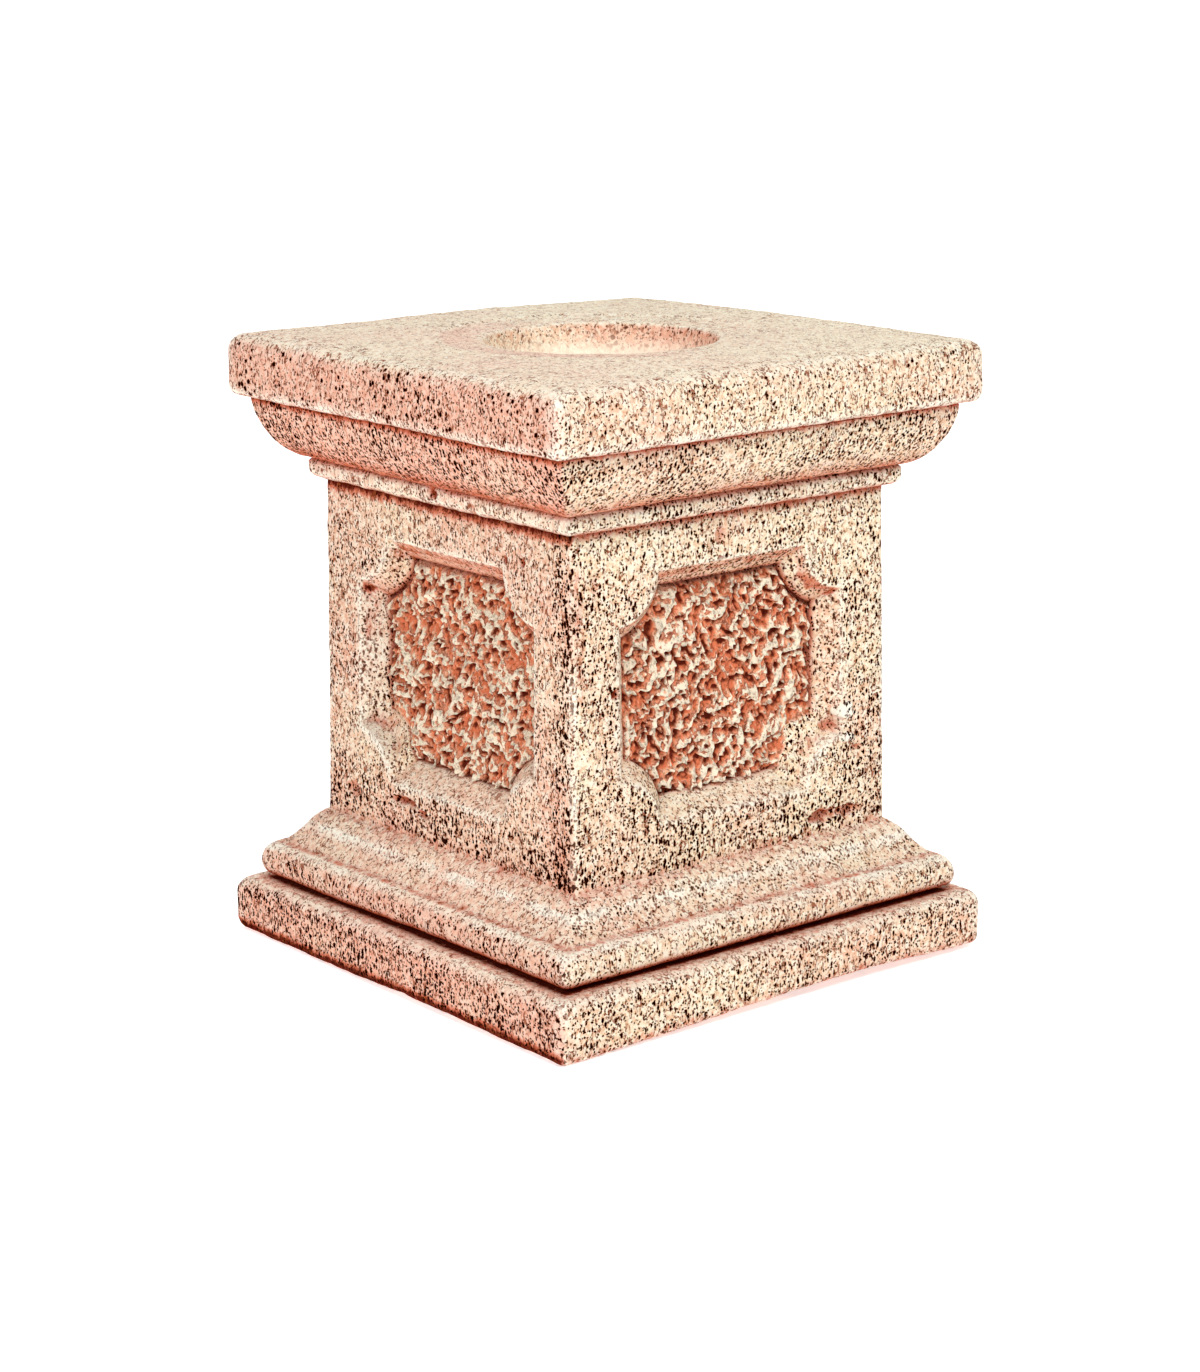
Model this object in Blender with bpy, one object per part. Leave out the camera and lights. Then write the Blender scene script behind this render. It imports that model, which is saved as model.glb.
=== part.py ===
"""Square cast stone garden pedestal: stepped base, panelled die, moulded cap with a round well.

Metres, +Z up. The origin is the centre of the underside, so the pedestal stands on z = 0.
Run with: blender --background --python part.py
"""

import math

import bmesh
import bpy
from mathutils import Matrix, Vector, geometry, noise

# Die, the plain shaft between base and cap. Every other width is stepped out from it.
DIE_HALF = 0.1295
DIE_HEIGHT = 0.221
DIE_CORNER = 0.0025

# Base, from the ground up. Each "out" is the step beyond the member above it.
PLINTH_HEIGHT = 0.040
PLINTH_OUT = 0.0117
PLINTH_FOOT_ROUND = 0.004
PLINTH_TOP_ROUND = 0.008
QUIRK_HEIGHT = 0.002
TORUS_HEIGHT = 0.018
TORUS_BULGE = 0.0048
TORUS_OUT = 0.003
LIP_HEIGHT = 0.005
LIP_OUT = 0.0035
SLOPE_HEIGHT = 0.0125
SLOPE_OUT = 0.0115
SLOPE_SAG = 0.0006
NOSE_HEIGHT = 0.0105
NOSE_OUT = 0.012
NOSE_FULLNESS = 1.3

# Cap, from the die up. Each "out" is the step beyond the member below it.
FILLET_EASE = 0.006
FILLET_HEIGHT = 0.008
FILLET_OUT = 0.007
GROOVE_DEPTH = 0.0012
OVOLO_HEIGHT = 0.040
OVOLO_OUT = 0.0245
OVOLO_FULLNESS = 1.5
SLAB_HEIGHT = 0.041
SLAB_OUT = 0.010
SLAB_FOOT_ROUND = 0.005
SLAB_TOP_ROUND = 0.010
SLAB_CROWN = 0.0012
SLAB_CROWN_WIDTH = 0.012

# Plan corners.
BLOCK_CORNER = 0.007
MOULDING_CORNER = 0.0035
CORNER_STEPS = 3

# Steps of the roundings and curves of the profile.
EDGE_STEPS = 3
SHOULDER_STEPS = 5
TORUS_STEPS = 4
SLOPE_STEPS = 4
NOSE_STEPS = 5
OVOLO_STEPS = 9

# Round well in the top bed, with a shallow dished ring round its mouth.
WELL_RADIUS = 0.0745
WELL_DEPTH = 0.030
WELL_TAPER = 0.005
WELL_LIP_ROUND = 0.003
WELL_FLOOR_ROUND = 0.005
DISH_WIDTH = 0.0315
DISH_DEPTH = 0.0020
DISH_EDGE_DEPTH = 0.0008
DISH_EDGE_WIDTH = 0.0012
WELL_SEGMENTS = 56

# Sunk panel on each side of the die: a rectangle with a round lobe taken out of each corner,
# a splayed reveal down to an arris, then a short drop to the rough ground.
PANEL_SIDE_MARGIN = 0.0375
PANEL_TOP_MARGIN = 0.030
PANEL_FOOT_MARGIN = 0.031
LOBE_RADIUS = 0.031
REVEAL_WIDTH = 0.013
REVEAL_DEPTH = 0.014
DROP_DEPTH = 0.0045
DROP_LEAN = 0.0006
LOBE_STEPS = 6
STRAIGHT_STEPS = 5

# Rough ground: lumps that rise to about the arris.
LUMP_SIZE = 0.0125
LUMP_RISE = 0.0048
LUMP_WARP = 0.9
LUMP_WARP_SCALE = 0.7
LUMP_DETAIL = 0.40
LUMP_DETAIL_SCALE = 2.1
LUMP_LOW = -0.28
LUMP_HIGH = 0.34
GROUND_CELL = 0.0062
GROUND_SCATTER = 0.5
SCATTER_STEP = 1.63
GROUND_EDGE_CLEAR = 0.6
WANDER_ACROSS = Vector((9.3, -1.5, -7.9))
WANDER_ALONG = Vector((-3.7, 6.1, 2.4))
MERGE_DISTANCE = 1e-7
FACE_SEED_STEP = 7.3

SHARP_ANGLE = math.radians(34)

STONE_COLOR = (0.66, 0.44, 0.32, 1.0)
STONE_ROUGHNESS = 0.92


def clear_scene():
    for item in list(bpy.data.objects):
        bpy.data.objects.remove(item, do_unlink=True)


def stone_material():
    material = bpy.data.materials.new("cast_stone")
    material.use_nodes = True
    shader = material.node_tree.nodes["Principled BSDF"]
    shader.inputs["Base Color"].default_value = STONE_COLOR
    shader.inputs["Roughness"].default_value = STONE_ROUGHNESS
    shader.inputs["Metallic"].default_value = 0.0
    material.diffuse_color = STONE_COLOR
    return material


def quarter(centre, radius_w, radius_z, start, steps, fullness=2.0):
    """Quarter of an ellipse from the angle start, a quarter turn on; fullness 2 is a true ellipse."""
    points = []
    for step in range(steps + 1):
        angle = math.radians(start + 90.0 * step / steps)
        across = math.cos(angle)
        along = math.sin(angle)
        points.append((
            centre[0] + radius_w * math.copysign(abs(across) ** (2.0 / fullness), across),
            centre[1] + radius_z * math.copysign(abs(along) ** (2.0 / fullness), along),
        ))
    return points


def base_profile():
    """Half-widths and heights of the base with their plan corner radii, ground up."""
    nose_half = DIE_HALF + NOSE_OUT
    slope_half = nose_half + SLOPE_OUT
    lip_half = slope_half + LIP_OUT
    torus_root = lip_half + TORUS_OUT
    plinth_half = torus_root + TORUS_BULGE + PLINTH_OUT

    rows = []
    foot = (plinth_half - PLINTH_FOOT_ROUND, PLINTH_FOOT_ROUND)
    rows += [(w, z, BLOCK_CORNER) for w, z in
             quarter(foot, PLINTH_FOOT_ROUND, PLINTH_FOOT_ROUND, -90, EDGE_STEPS)]
    shoulder = (plinth_half - PLINTH_TOP_ROUND, PLINTH_HEIGHT - PLINTH_TOP_ROUND)
    rows += [(w, z, BLOCK_CORNER) for w, z in
             quarter(shoulder, PLINTH_TOP_ROUND, PLINTH_TOP_ROUND, 0, SHOULDER_STEPS)]

    quirk_top = PLINTH_HEIGHT + QUIRK_HEIGHT
    rows.append((torus_root, PLINTH_HEIGHT, MOULDING_CORNER))
    centre = (torus_root, quirk_top + TORUS_HEIGHT / 2)
    lower = quarter(centre, TORUS_BULGE, TORUS_HEIGHT / 2, -90, TORUS_STEPS)
    upper = quarter(centre, TORUS_BULGE, TORUS_HEIGHT / 2, 0, TORUS_STEPS)
    rows += [(w, z, MOULDING_CORNER) for w, z in lower + upper[1:]]

    lip_foot = quirk_top + TORUS_HEIGHT
    lip = (slope_half, lip_foot)
    rows += [(w, z, MOULDING_CORNER) for w, z in quarter(lip, LIP_OUT, LIP_HEIGHT, 0, EDGE_STEPS)]

    slope_foot = lip_foot + LIP_HEIGHT
    for step in range(1, SLOPE_STEPS):
        share = step / SLOPE_STEPS
        sag = SLOPE_SAG * math.sin(math.pi * share)
        rows.append((slope_half - SLOPE_OUT * share - sag,
                     slope_foot + SLOPE_HEIGHT * share - sag, MOULDING_CORNER))

    nose = (DIE_HALF, slope_foot + SLOPE_HEIGHT)
    rows += [(w, z, MOULDING_CORNER) for w, z in
             quarter(nose, NOSE_OUT, NOSE_HEIGHT, 0, NOSE_STEPS, NOSE_FULLNESS)]
    return rows


def cap_profile(die_top):
    """Half-widths and heights of the cap with their plan corner radii, from the die up."""
    fillet_half = DIE_HALF + FILLET_OUT
    ovolo_half = fillet_half + OVOLO_OUT
    slab_half = ovolo_half + SLAB_OUT

    rows = []
    ease = (DIE_HALF, die_top + FILLET_EASE)
    rows += [(w, z, MOULDING_CORNER) for w, z in
             quarter(ease, FILLET_OUT, FILLET_EASE, -90, EDGE_STEPS)]
    fillet_top = die_top + FILLET_EASE + FILLET_HEIGHT
    rows.append((fillet_half, fillet_top - GROOVE_DEPTH, MOULDING_CORNER))
    rows.append((fillet_half - GROOVE_DEPTH, fillet_top, MOULDING_CORNER))

    ovolo_top = fillet_top + OVOLO_HEIGHT
    root = (fillet_half, ovolo_top)
    bowl = quarter(root, OVOLO_OUT, OVOLO_HEIGHT, -90, OVOLO_STEPS, OVOLO_FULLNESS)
    rows += [(w, z, MOULDING_CORNER) for w, z in bowl[1:]]

    slab_top = ovolo_top + SLAB_HEIGHT
    foot = (slab_half - SLAB_FOOT_ROUND, ovolo_top + SLAB_FOOT_ROUND)
    rows += [(w, z, BLOCK_CORNER) for w, z in
             quarter(foot, SLAB_FOOT_ROUND, SLAB_FOOT_ROUND, -90, EDGE_STEPS)]
    shoulder = (slab_half - SLAB_TOP_ROUND, slab_top - SLAB_CROWN - SLAB_TOP_ROUND)
    rows += [(w, z, BLOCK_CORNER) for w, z in
             quarter(shoulder, SLAB_TOP_ROUND, SLAB_TOP_ROUND, 0, SHOULDER_STEPS)]
    rows.append((shoulder[0] - SLAB_CROWN_WIDTH, slab_top, BLOCK_CORNER))
    return rows


def plan_ring(half, corner):
    """Points of a square with rounded corners, anticlockwise from above."""
    points = []
    for turn, (side_x, side_y) in enumerate(((1, 1), (-1, 1), (-1, -1), (1, -1))):
        for step in range(CORNER_STEPS + 1):
            angle = math.radians(90.0 * (turn + step / CORNER_STEPS))
            points.append((side_x * (half - corner) + corner * math.cos(angle),
                           side_y * (half - corner) + corner * math.sin(angle)))
    return points


def bridge(bm, lower, upper):
    count = len(lower)
    for index in range(count):
        following = (index + 1) % count
        bm.faces.new((lower[index], lower[following], upper[following], upper[index]))


def add_rings(bm, rows):
    rings = []
    for half, height, corner in rows:
        rings.append([bm.verts.new((x, y, height)) for x, y in plan_ring(half, corner)])
    for lower, upper in zip(rings, rings[1:]):
        bridge(bm, lower, upper)
    return rings


def edge_between(bm, start, end):
    return bm.edges.get((start, end)) or bm.edges.new((start, end))


def loop_edges(bm, loop):
    return [edge_between(bm, start, end) for start, end in zip(loop, loop[1:] + loop[:1])]


def add_well(bm, bed):
    """Dished ring and well turned about the middle of the bed; returns the ring's outer circle."""
    mouth = bed - DISH_DEPTH
    floor = bed - WELL_DEPTH
    floor_radius = WELL_RADIUS - WELL_TAPER
    turned = [
        (WELL_RADIUS + DISH_WIDTH, bed),
        (WELL_RADIUS + DISH_WIDTH - DISH_EDGE_WIDTH, bed - DISH_EDGE_DEPTH),
    ]
    turned += quarter((WELL_RADIUS + WELL_LIP_ROUND, mouth - WELL_LIP_ROUND),
                      WELL_LIP_ROUND, WELL_LIP_ROUND, 90, EDGE_STEPS)
    turned += quarter((floor_radius - WELL_FLOOR_ROUND, floor + WELL_FLOOR_ROUND),
                      WELL_FLOOR_ROUND, WELL_FLOOR_ROUND, -90, EDGE_STEPS)[::-1]
    rings = []
    for radius, height in turned:
        ring = []
        for step in range(WELL_SEGMENTS):
            angle = 2 * math.pi * step / WELL_SEGMENTS
            ring.append(bm.verts.new((radius * math.cos(angle), radius * math.sin(angle), height)))
        rings.append(ring)
    for upper, lower in zip(rings, rings[1:]):
        bridge(bm, upper, lower)
    bm.faces.new(rings[-1])
    return rings[0]


def panel_outline(half_w, half_h, inset):
    """Lobed rectangle moved in by inset, anticlockwise about the panel's centre.

    The lobes stay centred on the corners of the rectangle, so they grow by the inset.
    """
    radius = LOBE_RADIUS + inset
    lean = math.asin(inset / radius)
    points = []
    for turn, (side_x, side_z) in enumerate(((1, 1), (-1, 1), (-1, -1), (1, -1))):
        first = math.pi * (1.5 + 0.5 * turn) - lean
        last = math.pi * (1.0 + 0.5 * turn) + lean
        arc = []
        for step in range(LOBE_STEPS + 1):
            angle = first + (last - first) * step / LOBE_STEPS
            arc.append((side_x * half_w + radius * math.cos(angle),
                        side_z * half_h + radius * math.sin(angle)))
        points.append(arc)
    outline = []
    for turn, arc in enumerate(points):
        outline += arc
        start = arc[-1]
        end = points[(turn + 1) % 4][0]
        for step in range(1, STRAIGHT_STEPS):
            share = step / STRAIGHT_STEPS
            outline.append((start[0] + (end[0] - start[0]) * share,
                            start[1] + (end[1] - start[1]) * share))
    return outline


def smooth_step(low, high, value):
    share = min(1.0, max(0.0, (value - low) / (high - low)))
    return share * share * (3.0 - 2.0 * share)


def wander(spot, reach):
    """Smooth sideways drift of a point, a separate noise for each direction."""
    across = noise.noise(spot + WANDER_ACROSS)
    along = noise.noise(spot + WANDER_ALONG)
    return Vector((across, along, 0.0)) * reach


def lump_height(x, z, seed):
    """Rise of the rough ground above its bed at a point of the panel."""
    spot = Vector((x / LUMP_SIZE, z / LUMP_SIZE, seed))
    spot += wander(spot * LUMP_WARP_SCALE, LUMP_WARP)
    value = noise.noise(spot)
    value += LUMP_DETAIL * noise.noise(spot * LUMP_DETAIL_SCALE)
    return LUMP_RISE * smooth_step(LUMP_LOW, LUMP_HIGH, value)


def inside_panel(x, z, half_w, half_h, inset):
    if abs(x) > half_w - inset or abs(z) > half_h - inset:
        return False
    return math.hypot(half_w - abs(x), half_h - abs(z)) > LOBE_RADIUS + inset


def ground_points(half_w, half_h, inset, seed):
    """Slightly scattered grid of points inside the panel, clear of its edge."""
    keep_off = inset + GROUND_CELL * GROUND_EDGE_CLEAR
    columns = round(2 * half_w / GROUND_CELL)
    rows = round(2 * half_h / GROUND_CELL)
    points = []
    for row in range(rows + 1):
        for column in range(columns + 1):
            cell = Vector((column * SCATTER_STEP, row * SCATTER_STEP, seed))
            shift = wander(cell, GROUND_SCATTER * GROUND_CELL)
            x = half_w * (2 * column / columns - 1) + shift.x
            z = half_h * (2 * row / rows - 1) + shift.y
            if inside_panel(x, z, half_w, half_h, keep_off):
                points.append(Vector((x, z)))
    return points


def add_panel(bm, half_w, half_h, seed, place):
    """Sunk panel facing -Y, moved into position by place; returns its outline on the die's face."""
    ground_depth = REVEAL_DEPTH + DROP_DEPTH
    ground_inset = REVEAL_WIDTH + DROP_LEAN
    rings = []
    for inset, depth in ((0.0, 0.0), (REVEAL_WIDTH, REVEAL_DEPTH), (ground_inset, ground_depth)):
        outline = panel_outline(half_w, half_h, inset)
        rings.append([bm.verts.new(place @ Vector((x, depth, z))) for x, z in outline])
    for outer, inner in zip(rings, rings[1:]):
        bridge(bm, outer, inner)

    edge = [Vector(point) for point in panel_outline(half_w, half_h, ground_inset)]
    count = len(edge)
    border = [(index, (index + 1) % count) for index in range(count)]
    flat = edge + ground_points(half_w, half_h, ground_inset, seed)
    mesh = geometry.delaunay_2d_cdt(flat, border, [list(range(count))], 1, MERGE_DISTANCE)
    spots = mesh[0]
    triangles = mesh[2]
    corners = list(rings[-1])
    for spot in spots[count:]:
        depth = ground_depth - lump_height(spot.x, spot.y, seed)
        corners.append(bm.verts.new(place @ Vector((spot.x, depth, spot.y))))
    for triangle in triangles:
        bm.faces.new([corners[index] for index in triangle])
    return rings[0]


def add_die(bm, lower, upper, middle, half_w, half_h):
    """Die between two rings: strips round its four corners and a panelled flat on each side."""
    per_corner = CORNER_STEPS + 1
    count = len(lower)
    for corner in range(4):
        for step in range(CORNER_STEPS):
            index = corner * per_corner + step
            bm.faces.new((lower[index], lower[index + 1], upper[index + 1], upper[index]))
    for turn in range(4):
        # The side facing -Y runs from the third plan corner to the fourth.
        start = ((turn + 2) % 4) * per_corner + CORNER_STEPS
        end = (start + 1) % count
        spin = Matrix.Rotation(math.pi / 2 * turn, 4, "Z")
        place = spin @ Matrix.Translation((0.0, -DIE_HALF, middle))
        outline = add_panel(bm, half_w, half_h, FACE_SEED_STEP * (turn + 1), place)
        side = loop_edges(bm, [lower[start], lower[end], upper[end], upper[start]])
        fill_between(bm, side, loop_edges(bm, outline))


def fill_between(bm, outer, inner):
    bmesh.ops.triangle_fill(bm, edges=outer + inner, use_beauty=True)


def pedestal_mesh():
    bm = bmesh.new()
    base_rows = base_profile()
    die_foot = base_rows[-1][1]
    die_top = die_foot + DIE_HEIGHT
    cap_rows = cap_profile(die_top)
    base_rows[-1] = (DIE_HALF, die_foot, DIE_CORNER)
    cap_rows[0] = (DIE_HALF, die_top, DIE_CORNER)
    base = add_rings(bm, base_rows)
    cap = add_rings(bm, cap_rows)
    bm.faces.new(list(reversed(base[0])))

    half_w = DIE_HALF - PANEL_SIDE_MARGIN
    half_h = (DIE_HEIGHT - PANEL_TOP_MARGIN - PANEL_FOOT_MARGIN) / 2
    add_die(bm, base[-1], cap[0], die_foot + PANEL_FOOT_MARGIN + half_h, half_w, half_h)

    mouth = add_well(bm, cap_rows[-1][1])
    fill_between(bm, loop_edges(bm, cap[-1]), loop_edges(bm, mouth))

    bmesh.ops.recalc_face_normals(bm, faces=bm.faces)
    mesh = bpy.data.meshes.new("pedestal")
    bm.to_mesh(mesh)
    bm.free()
    return mesh


def build():
    clear_scene()
    mesh = pedestal_mesh()
    mesh.materials.append(stone_material())
    mesh.shade_smooth()
    mesh.set_sharp_from_angle(angle=SHARP_ANGLE)
    pedestal = bpy.data.objects.new("pedestal", mesh)
    bpy.context.scene.collection.objects.link(pedestal)


build()
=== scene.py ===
from functools import partial
import math

import bpy
import numpy as np
from mathutils import Matrix, Vector, geometry, noise
from mathutils.bvhtree import BVHTree


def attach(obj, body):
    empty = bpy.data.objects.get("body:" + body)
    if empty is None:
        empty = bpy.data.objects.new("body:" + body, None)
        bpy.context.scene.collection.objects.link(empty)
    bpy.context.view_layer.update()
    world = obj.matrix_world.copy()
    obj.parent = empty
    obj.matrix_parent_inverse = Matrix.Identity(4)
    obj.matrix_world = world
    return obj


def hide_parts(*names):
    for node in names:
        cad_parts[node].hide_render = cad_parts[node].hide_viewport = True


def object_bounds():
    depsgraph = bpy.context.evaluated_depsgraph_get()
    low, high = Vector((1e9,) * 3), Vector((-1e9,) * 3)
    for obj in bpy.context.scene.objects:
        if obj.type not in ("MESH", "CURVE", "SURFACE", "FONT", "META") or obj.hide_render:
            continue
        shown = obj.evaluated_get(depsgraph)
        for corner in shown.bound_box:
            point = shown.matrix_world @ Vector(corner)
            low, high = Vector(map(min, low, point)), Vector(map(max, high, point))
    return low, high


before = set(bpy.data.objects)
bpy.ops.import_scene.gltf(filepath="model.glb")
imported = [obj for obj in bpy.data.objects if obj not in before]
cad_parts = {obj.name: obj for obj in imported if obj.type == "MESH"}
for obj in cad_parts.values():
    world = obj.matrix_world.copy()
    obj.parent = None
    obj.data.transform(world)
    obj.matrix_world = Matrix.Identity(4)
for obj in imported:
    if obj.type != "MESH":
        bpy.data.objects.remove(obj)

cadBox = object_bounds()
print("frame loaded, the casting is %.0f mm high" % (1000 * (cadBox[1].z - cadBox[0].z)))


# the casting: how far each member steps out, and how high it is, in metres
casting = {
    "plinthHeight": 0.04, "plinthOut": 0.0117, "plinthFootRound": 0.0045, "plinthTopRound": 0.008,
    "quirkHeight": 0.002, "quirkDepth": 0.0045, "quirkOpen": 0.0012,
    "torusHeight": 0.018, "torusBulge": 0.0048, "torusOut": 0.003, "lipHeight": 0.005, "lipOut": 0.0035,
    "quirkFootRise": 0.0002, "quirkHeadIn": 0.8, "quirkHeadRise": 0.0008,
    "lipLap": 0.0012, "lipDrop": 0.0006, "jointIn": 0.0002, "jointDrop": 0.0007,
    "slopeHeight": 0.0125, "slopeOut": 0.0115, "slopeSag": 0.0006, "slopeSteps": 5,
    "noseHeight": 0.0105, "noseOut": 0.012, "noseFullness": 1.3,
    "filletEase": 0.006, "filletHeight": 0.008, "filletOut": 0.007, "grooveDepth": 0.0024,
    "creaseDepth": 0.0018, "creaseHeight": 0.0012,
    "ovoloHeight": 0.04, "ovoloOut": 0.0257, "ovoloFullness": 1.7, "ovoloHeadIn": 0.0003,
    "slabHeight": 0.041, "slabOut": 0.0103, "slabFootRound": 0.005, "slabTopRound": 0.01,
    "slabCrown": 0.0012, "slabCrownWidth": 0.012,
    "blockCorner": 0.004, "mouldingCorner": 0.0022, "dieCorner": 0.0022,
    "dieLeanTop": -0.0017, "dieLeanFoot": 0.0009,   # the die narrows a little on its way up
    "rowStep": 0.003,          # longest step up the profile
    "sideSteps": 82,            # steps along one side of a ring
    "cornerSteps": 4,
    "dieRowStep": 0.003,
    "flatStep": 0.0037,         # point spacing on the plain stone
    "underStep": 0.012,
}

# the round well in the top bed and the dished ring about its mouth
well = {
    "radius": 0.0745, "depth": 0.03, "taper": 0.005, "lipRound": 0.003, "floorRound": 0.005,
    "dishWidth": 0.0315, "dishDepth": 0.002, "dishEdgeDepth": 0.0008, "dishEdgeWidth": 0.0012,
    "steps": 144, "rowStep": 0.0034, "floorStep": 0.0045, "floorMargin": 0.002,
}

# the sunk panel on each side of the die
panel = {
    "sideMargin": 0.0375, "topMargin": 0.03, "footMargin": 0.031,
    "lobeRadius": 0.031, "revealWidth": 0.013, "revealDepth": 0.014,
    "dropDepth": 0.0045, "dropLean": 0.0006,
    "lobeSteps": 20, "topSteps": 54, "sideSteps": 44, "revealSteps": 8, "arrisRound": 0.0011,
    "lumpSize": 0.0125, "lumpRise": 0.0048, "lumpWarp": 0.9, "lumpWarpScale": 0.7, "lumpShare": 0.36,
    "lumpDetail": 0.4, "lumpDetailScale": 2.1, "lumpLow": -0.28, "lumpHigh": 0.34,
    "ridgeSlant": 38.0, "ridgeStretch": 1.6, "ridgeSize": 0.007, "ridgeThin": 3.8, "ridgeRise": 0.0048,
    "ridgeWarpScale": 0.8, "ridgeWarp": 0.8,
    "crestSize": 0.004, "crestThin": 3.2, "crestRise": 0.0028, "crestWarpScale": 0.9, "crestWarp": 0.7,
    "crumbSize": 0.0026, "crumbRise": 0.0006,
    "overhang": 0.46,           # how far crests lean down the face, against their height
    "groundStep": 0.0018, "seedStep": 7.3,
}

# how calm the stone lies, 0 pitted and rough to 1 smooth
calmOf = {
    "quirkFoot": 0.6, "quirk": 0.8, "joint": 0.3, "slope": 0.35, "nose": 0.2, "dieEdge": 0.2,
    "dieCorner": 0.1, "crease": 0.3, "groove": 0.4, "bedEdge": 0.3, "bed": 0.5, "dishEdge": 0.4, "lip": 0.5,
    "wellFloor": 1.0, "underside": 0.2, "reveal": 0.45, "panelEdge": 0.3,
}

# shifts between the noises that move points and lumps across and along
wanderAcross = Vector((9.3, -1.5, -7.9))
wanderAlong = Vector((-3.7, 6.1, 2.4))

# half widths and heights of the members, from the ground up
plinthHalf = cadBox[1].x
torusRoot = plinthHalf - casting["plinthOut"] - casting["torusBulge"]
slopeHalf = torusRoot - casting["torusOut"] - casting["lipOut"]
noseHalf = slopeHalf - casting["slopeOut"]
dieHalf = noseHalf - casting["noseOut"]
filletHalf = dieHalf + casting["filletOut"]
ovoloHalf = filletHalf + casting["ovoloOut"]
slabHalf = ovoloHalf + casting["slabOut"]
quirkTop = casting["plinthHeight"] + casting["quirkHeight"]
slopeFoot = quirkTop + casting["torusHeight"] + casting["lipHeight"]
dieFoot = slopeFoot + casting["slopeHeight"] + casting["noseHeight"]
bedHeight = cadBox[1].z
slopeHead = slopeFoot + casting["slopeHeight"]
ovoloTop = bedHeight - casting["slabHeight"]
filletTop = ovoloTop - casting["ovoloHeight"]
dieTop = filletTop - casting["filletHeight"] - casting["filletEase"]
panelHalfW = dieHalf - panel["sideMargin"]
panelHalfH = (dieTop - dieFoot - panel["topMargin"] - panel["footMargin"]) / 2
panelMiddle = dieFoot + panel["footMargin"] + panelHalfH


def dieHalfAt(z):
    share = (z - dieFoot) / (dieTop - dieFoot)
    return dieHalf + casting["dieLeanFoot"] + (casting["dieLeanTop"] - casting["dieLeanFoot"]) * share


def onSide(turn, x, depth, z):
    # a point of one side of the die, x to the right seen from outside, depth into the stone
    y = depth - dieHalfAt(z)
    return ((x, y, z), (-y, x, z), (-x, -y, z), (y, -x, z))[turn]


# stone points: place, how calm the surface is, and how high a lump stands, below nought off the ground
spots = []
calmness = []
lumps = []
skins = []
seen = {}


def spot(x, y, z, calm=0.0, lump=-1.0):
    key = (round(x * 1e6), round(y * 1e6), round(z * 1e6))
    if key not in seen:
        seen[key] = len(spots)
        spots.append((x, y, z))
        calmness.append(calm)
        lumps.append(lump)
    return seen[key]


def skin(*corners):
    loop = []
    for corner in corners:
        if corner not in loop:
            loop.append(corner)
    if len(loop) > 2:
        skins.append(tuple(loop))


def smoothStep(low, top, value):
    share = min(1.0, max(0.0, (value - low) / (top - low)))
    return share * share * (3.0 - 2.0 * share)


def bow(centre, acrossRadius, upRadius, start, fullness=2.0):
    # a quarter turn of an ellipse from the angle start, in steps short enough for the rows
    steps = max(3, math.ceil(1.57 * max(acrossRadius, upRadius) / casting["rowStep"]))
    points = []
    for step in range(steps + 1):
        angle = math.radians(start + 90.0 * step / steps)
        across = math.cos(angle)
        up = math.sin(angle)
        points.append((centre[0] + acrossRadius * math.copysign(abs(across) ** (2 / fullness), across),
                       centre[1] + upRadius * math.copysign(abs(up) ** (2 / fullness), up)))
    return points


def moulded(points, calm=0):
    # rows of the profile: half width, height, corner radius and calmness
    return [(half, z, casting["mouldingCorner"], calm) for half, z in points]


def roundedEdge(half, z, radius, start):
    points = bow((half - radius, z), radius, radius, start)
    return [(across, up, casting["blockCorner"], 0) for across, up in points]


def baseRows():
    c = casting
    rows = roundedEdge(plinthHalf, c["plinthFootRound"], c["plinthFootRound"], -90)
    rows += roundedEdge(plinthHalf, c["plinthHeight"] - c["plinthTopRound"], c["plinthTopRound"], 0)
    rows += moulded([(torusRoot, c["plinthHeight"] - c["quirkOpen"])], calmOf["quirkFoot"])
    rows += moulded([(torusRoot - c["quirkDepth"], c["plinthHeight"] + c["quirkFootRise"]),
                     (torusRoot - c["quirkDepth"] * c["quirkHeadIn"], quirkTop + c["quirkHeadRise"])],
                    calmOf["quirk"])
    middle = (torusRoot, quirkTop + c["torusHeight"] / 2)
    lower = bow(middle, c["torusBulge"], c["torusHeight"] / 2, -90)
    over = (slopeHalf + c["lipLap"], middle[1])
    upper = bow(over, middle[0] + c["torusBulge"] - over[0], slopeFoot - c["lipDrop"] - over[1], 0)
    rows += moulded(lower + upper[1:])
    rows += moulded([(slopeHalf - c["jointIn"], slopeFoot - c["jointDrop"])], calmOf["joint"])
    for step in range(1, c["slopeSteps"]):
        share = step / c["slopeSteps"]
        sag = c["slopeSag"] * math.sin(math.pi * share)
        place = (slopeHalf - c["slopeOut"] * share - sag, slopeFoot + c["slopeHeight"] * share - sag)
        rows += moulded([place], calmOf["slope"])
    rows += moulded(bow((dieHalf, slopeHead), c["noseOut"], c["noseHeight"], 0, c["noseFullness"]),
                    calmOf["nose"])
    rows[-1] = (dieHalfAt(dieFoot), dieFoot, c["dieCorner"], calmOf["dieEdge"])
    return rows


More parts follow.
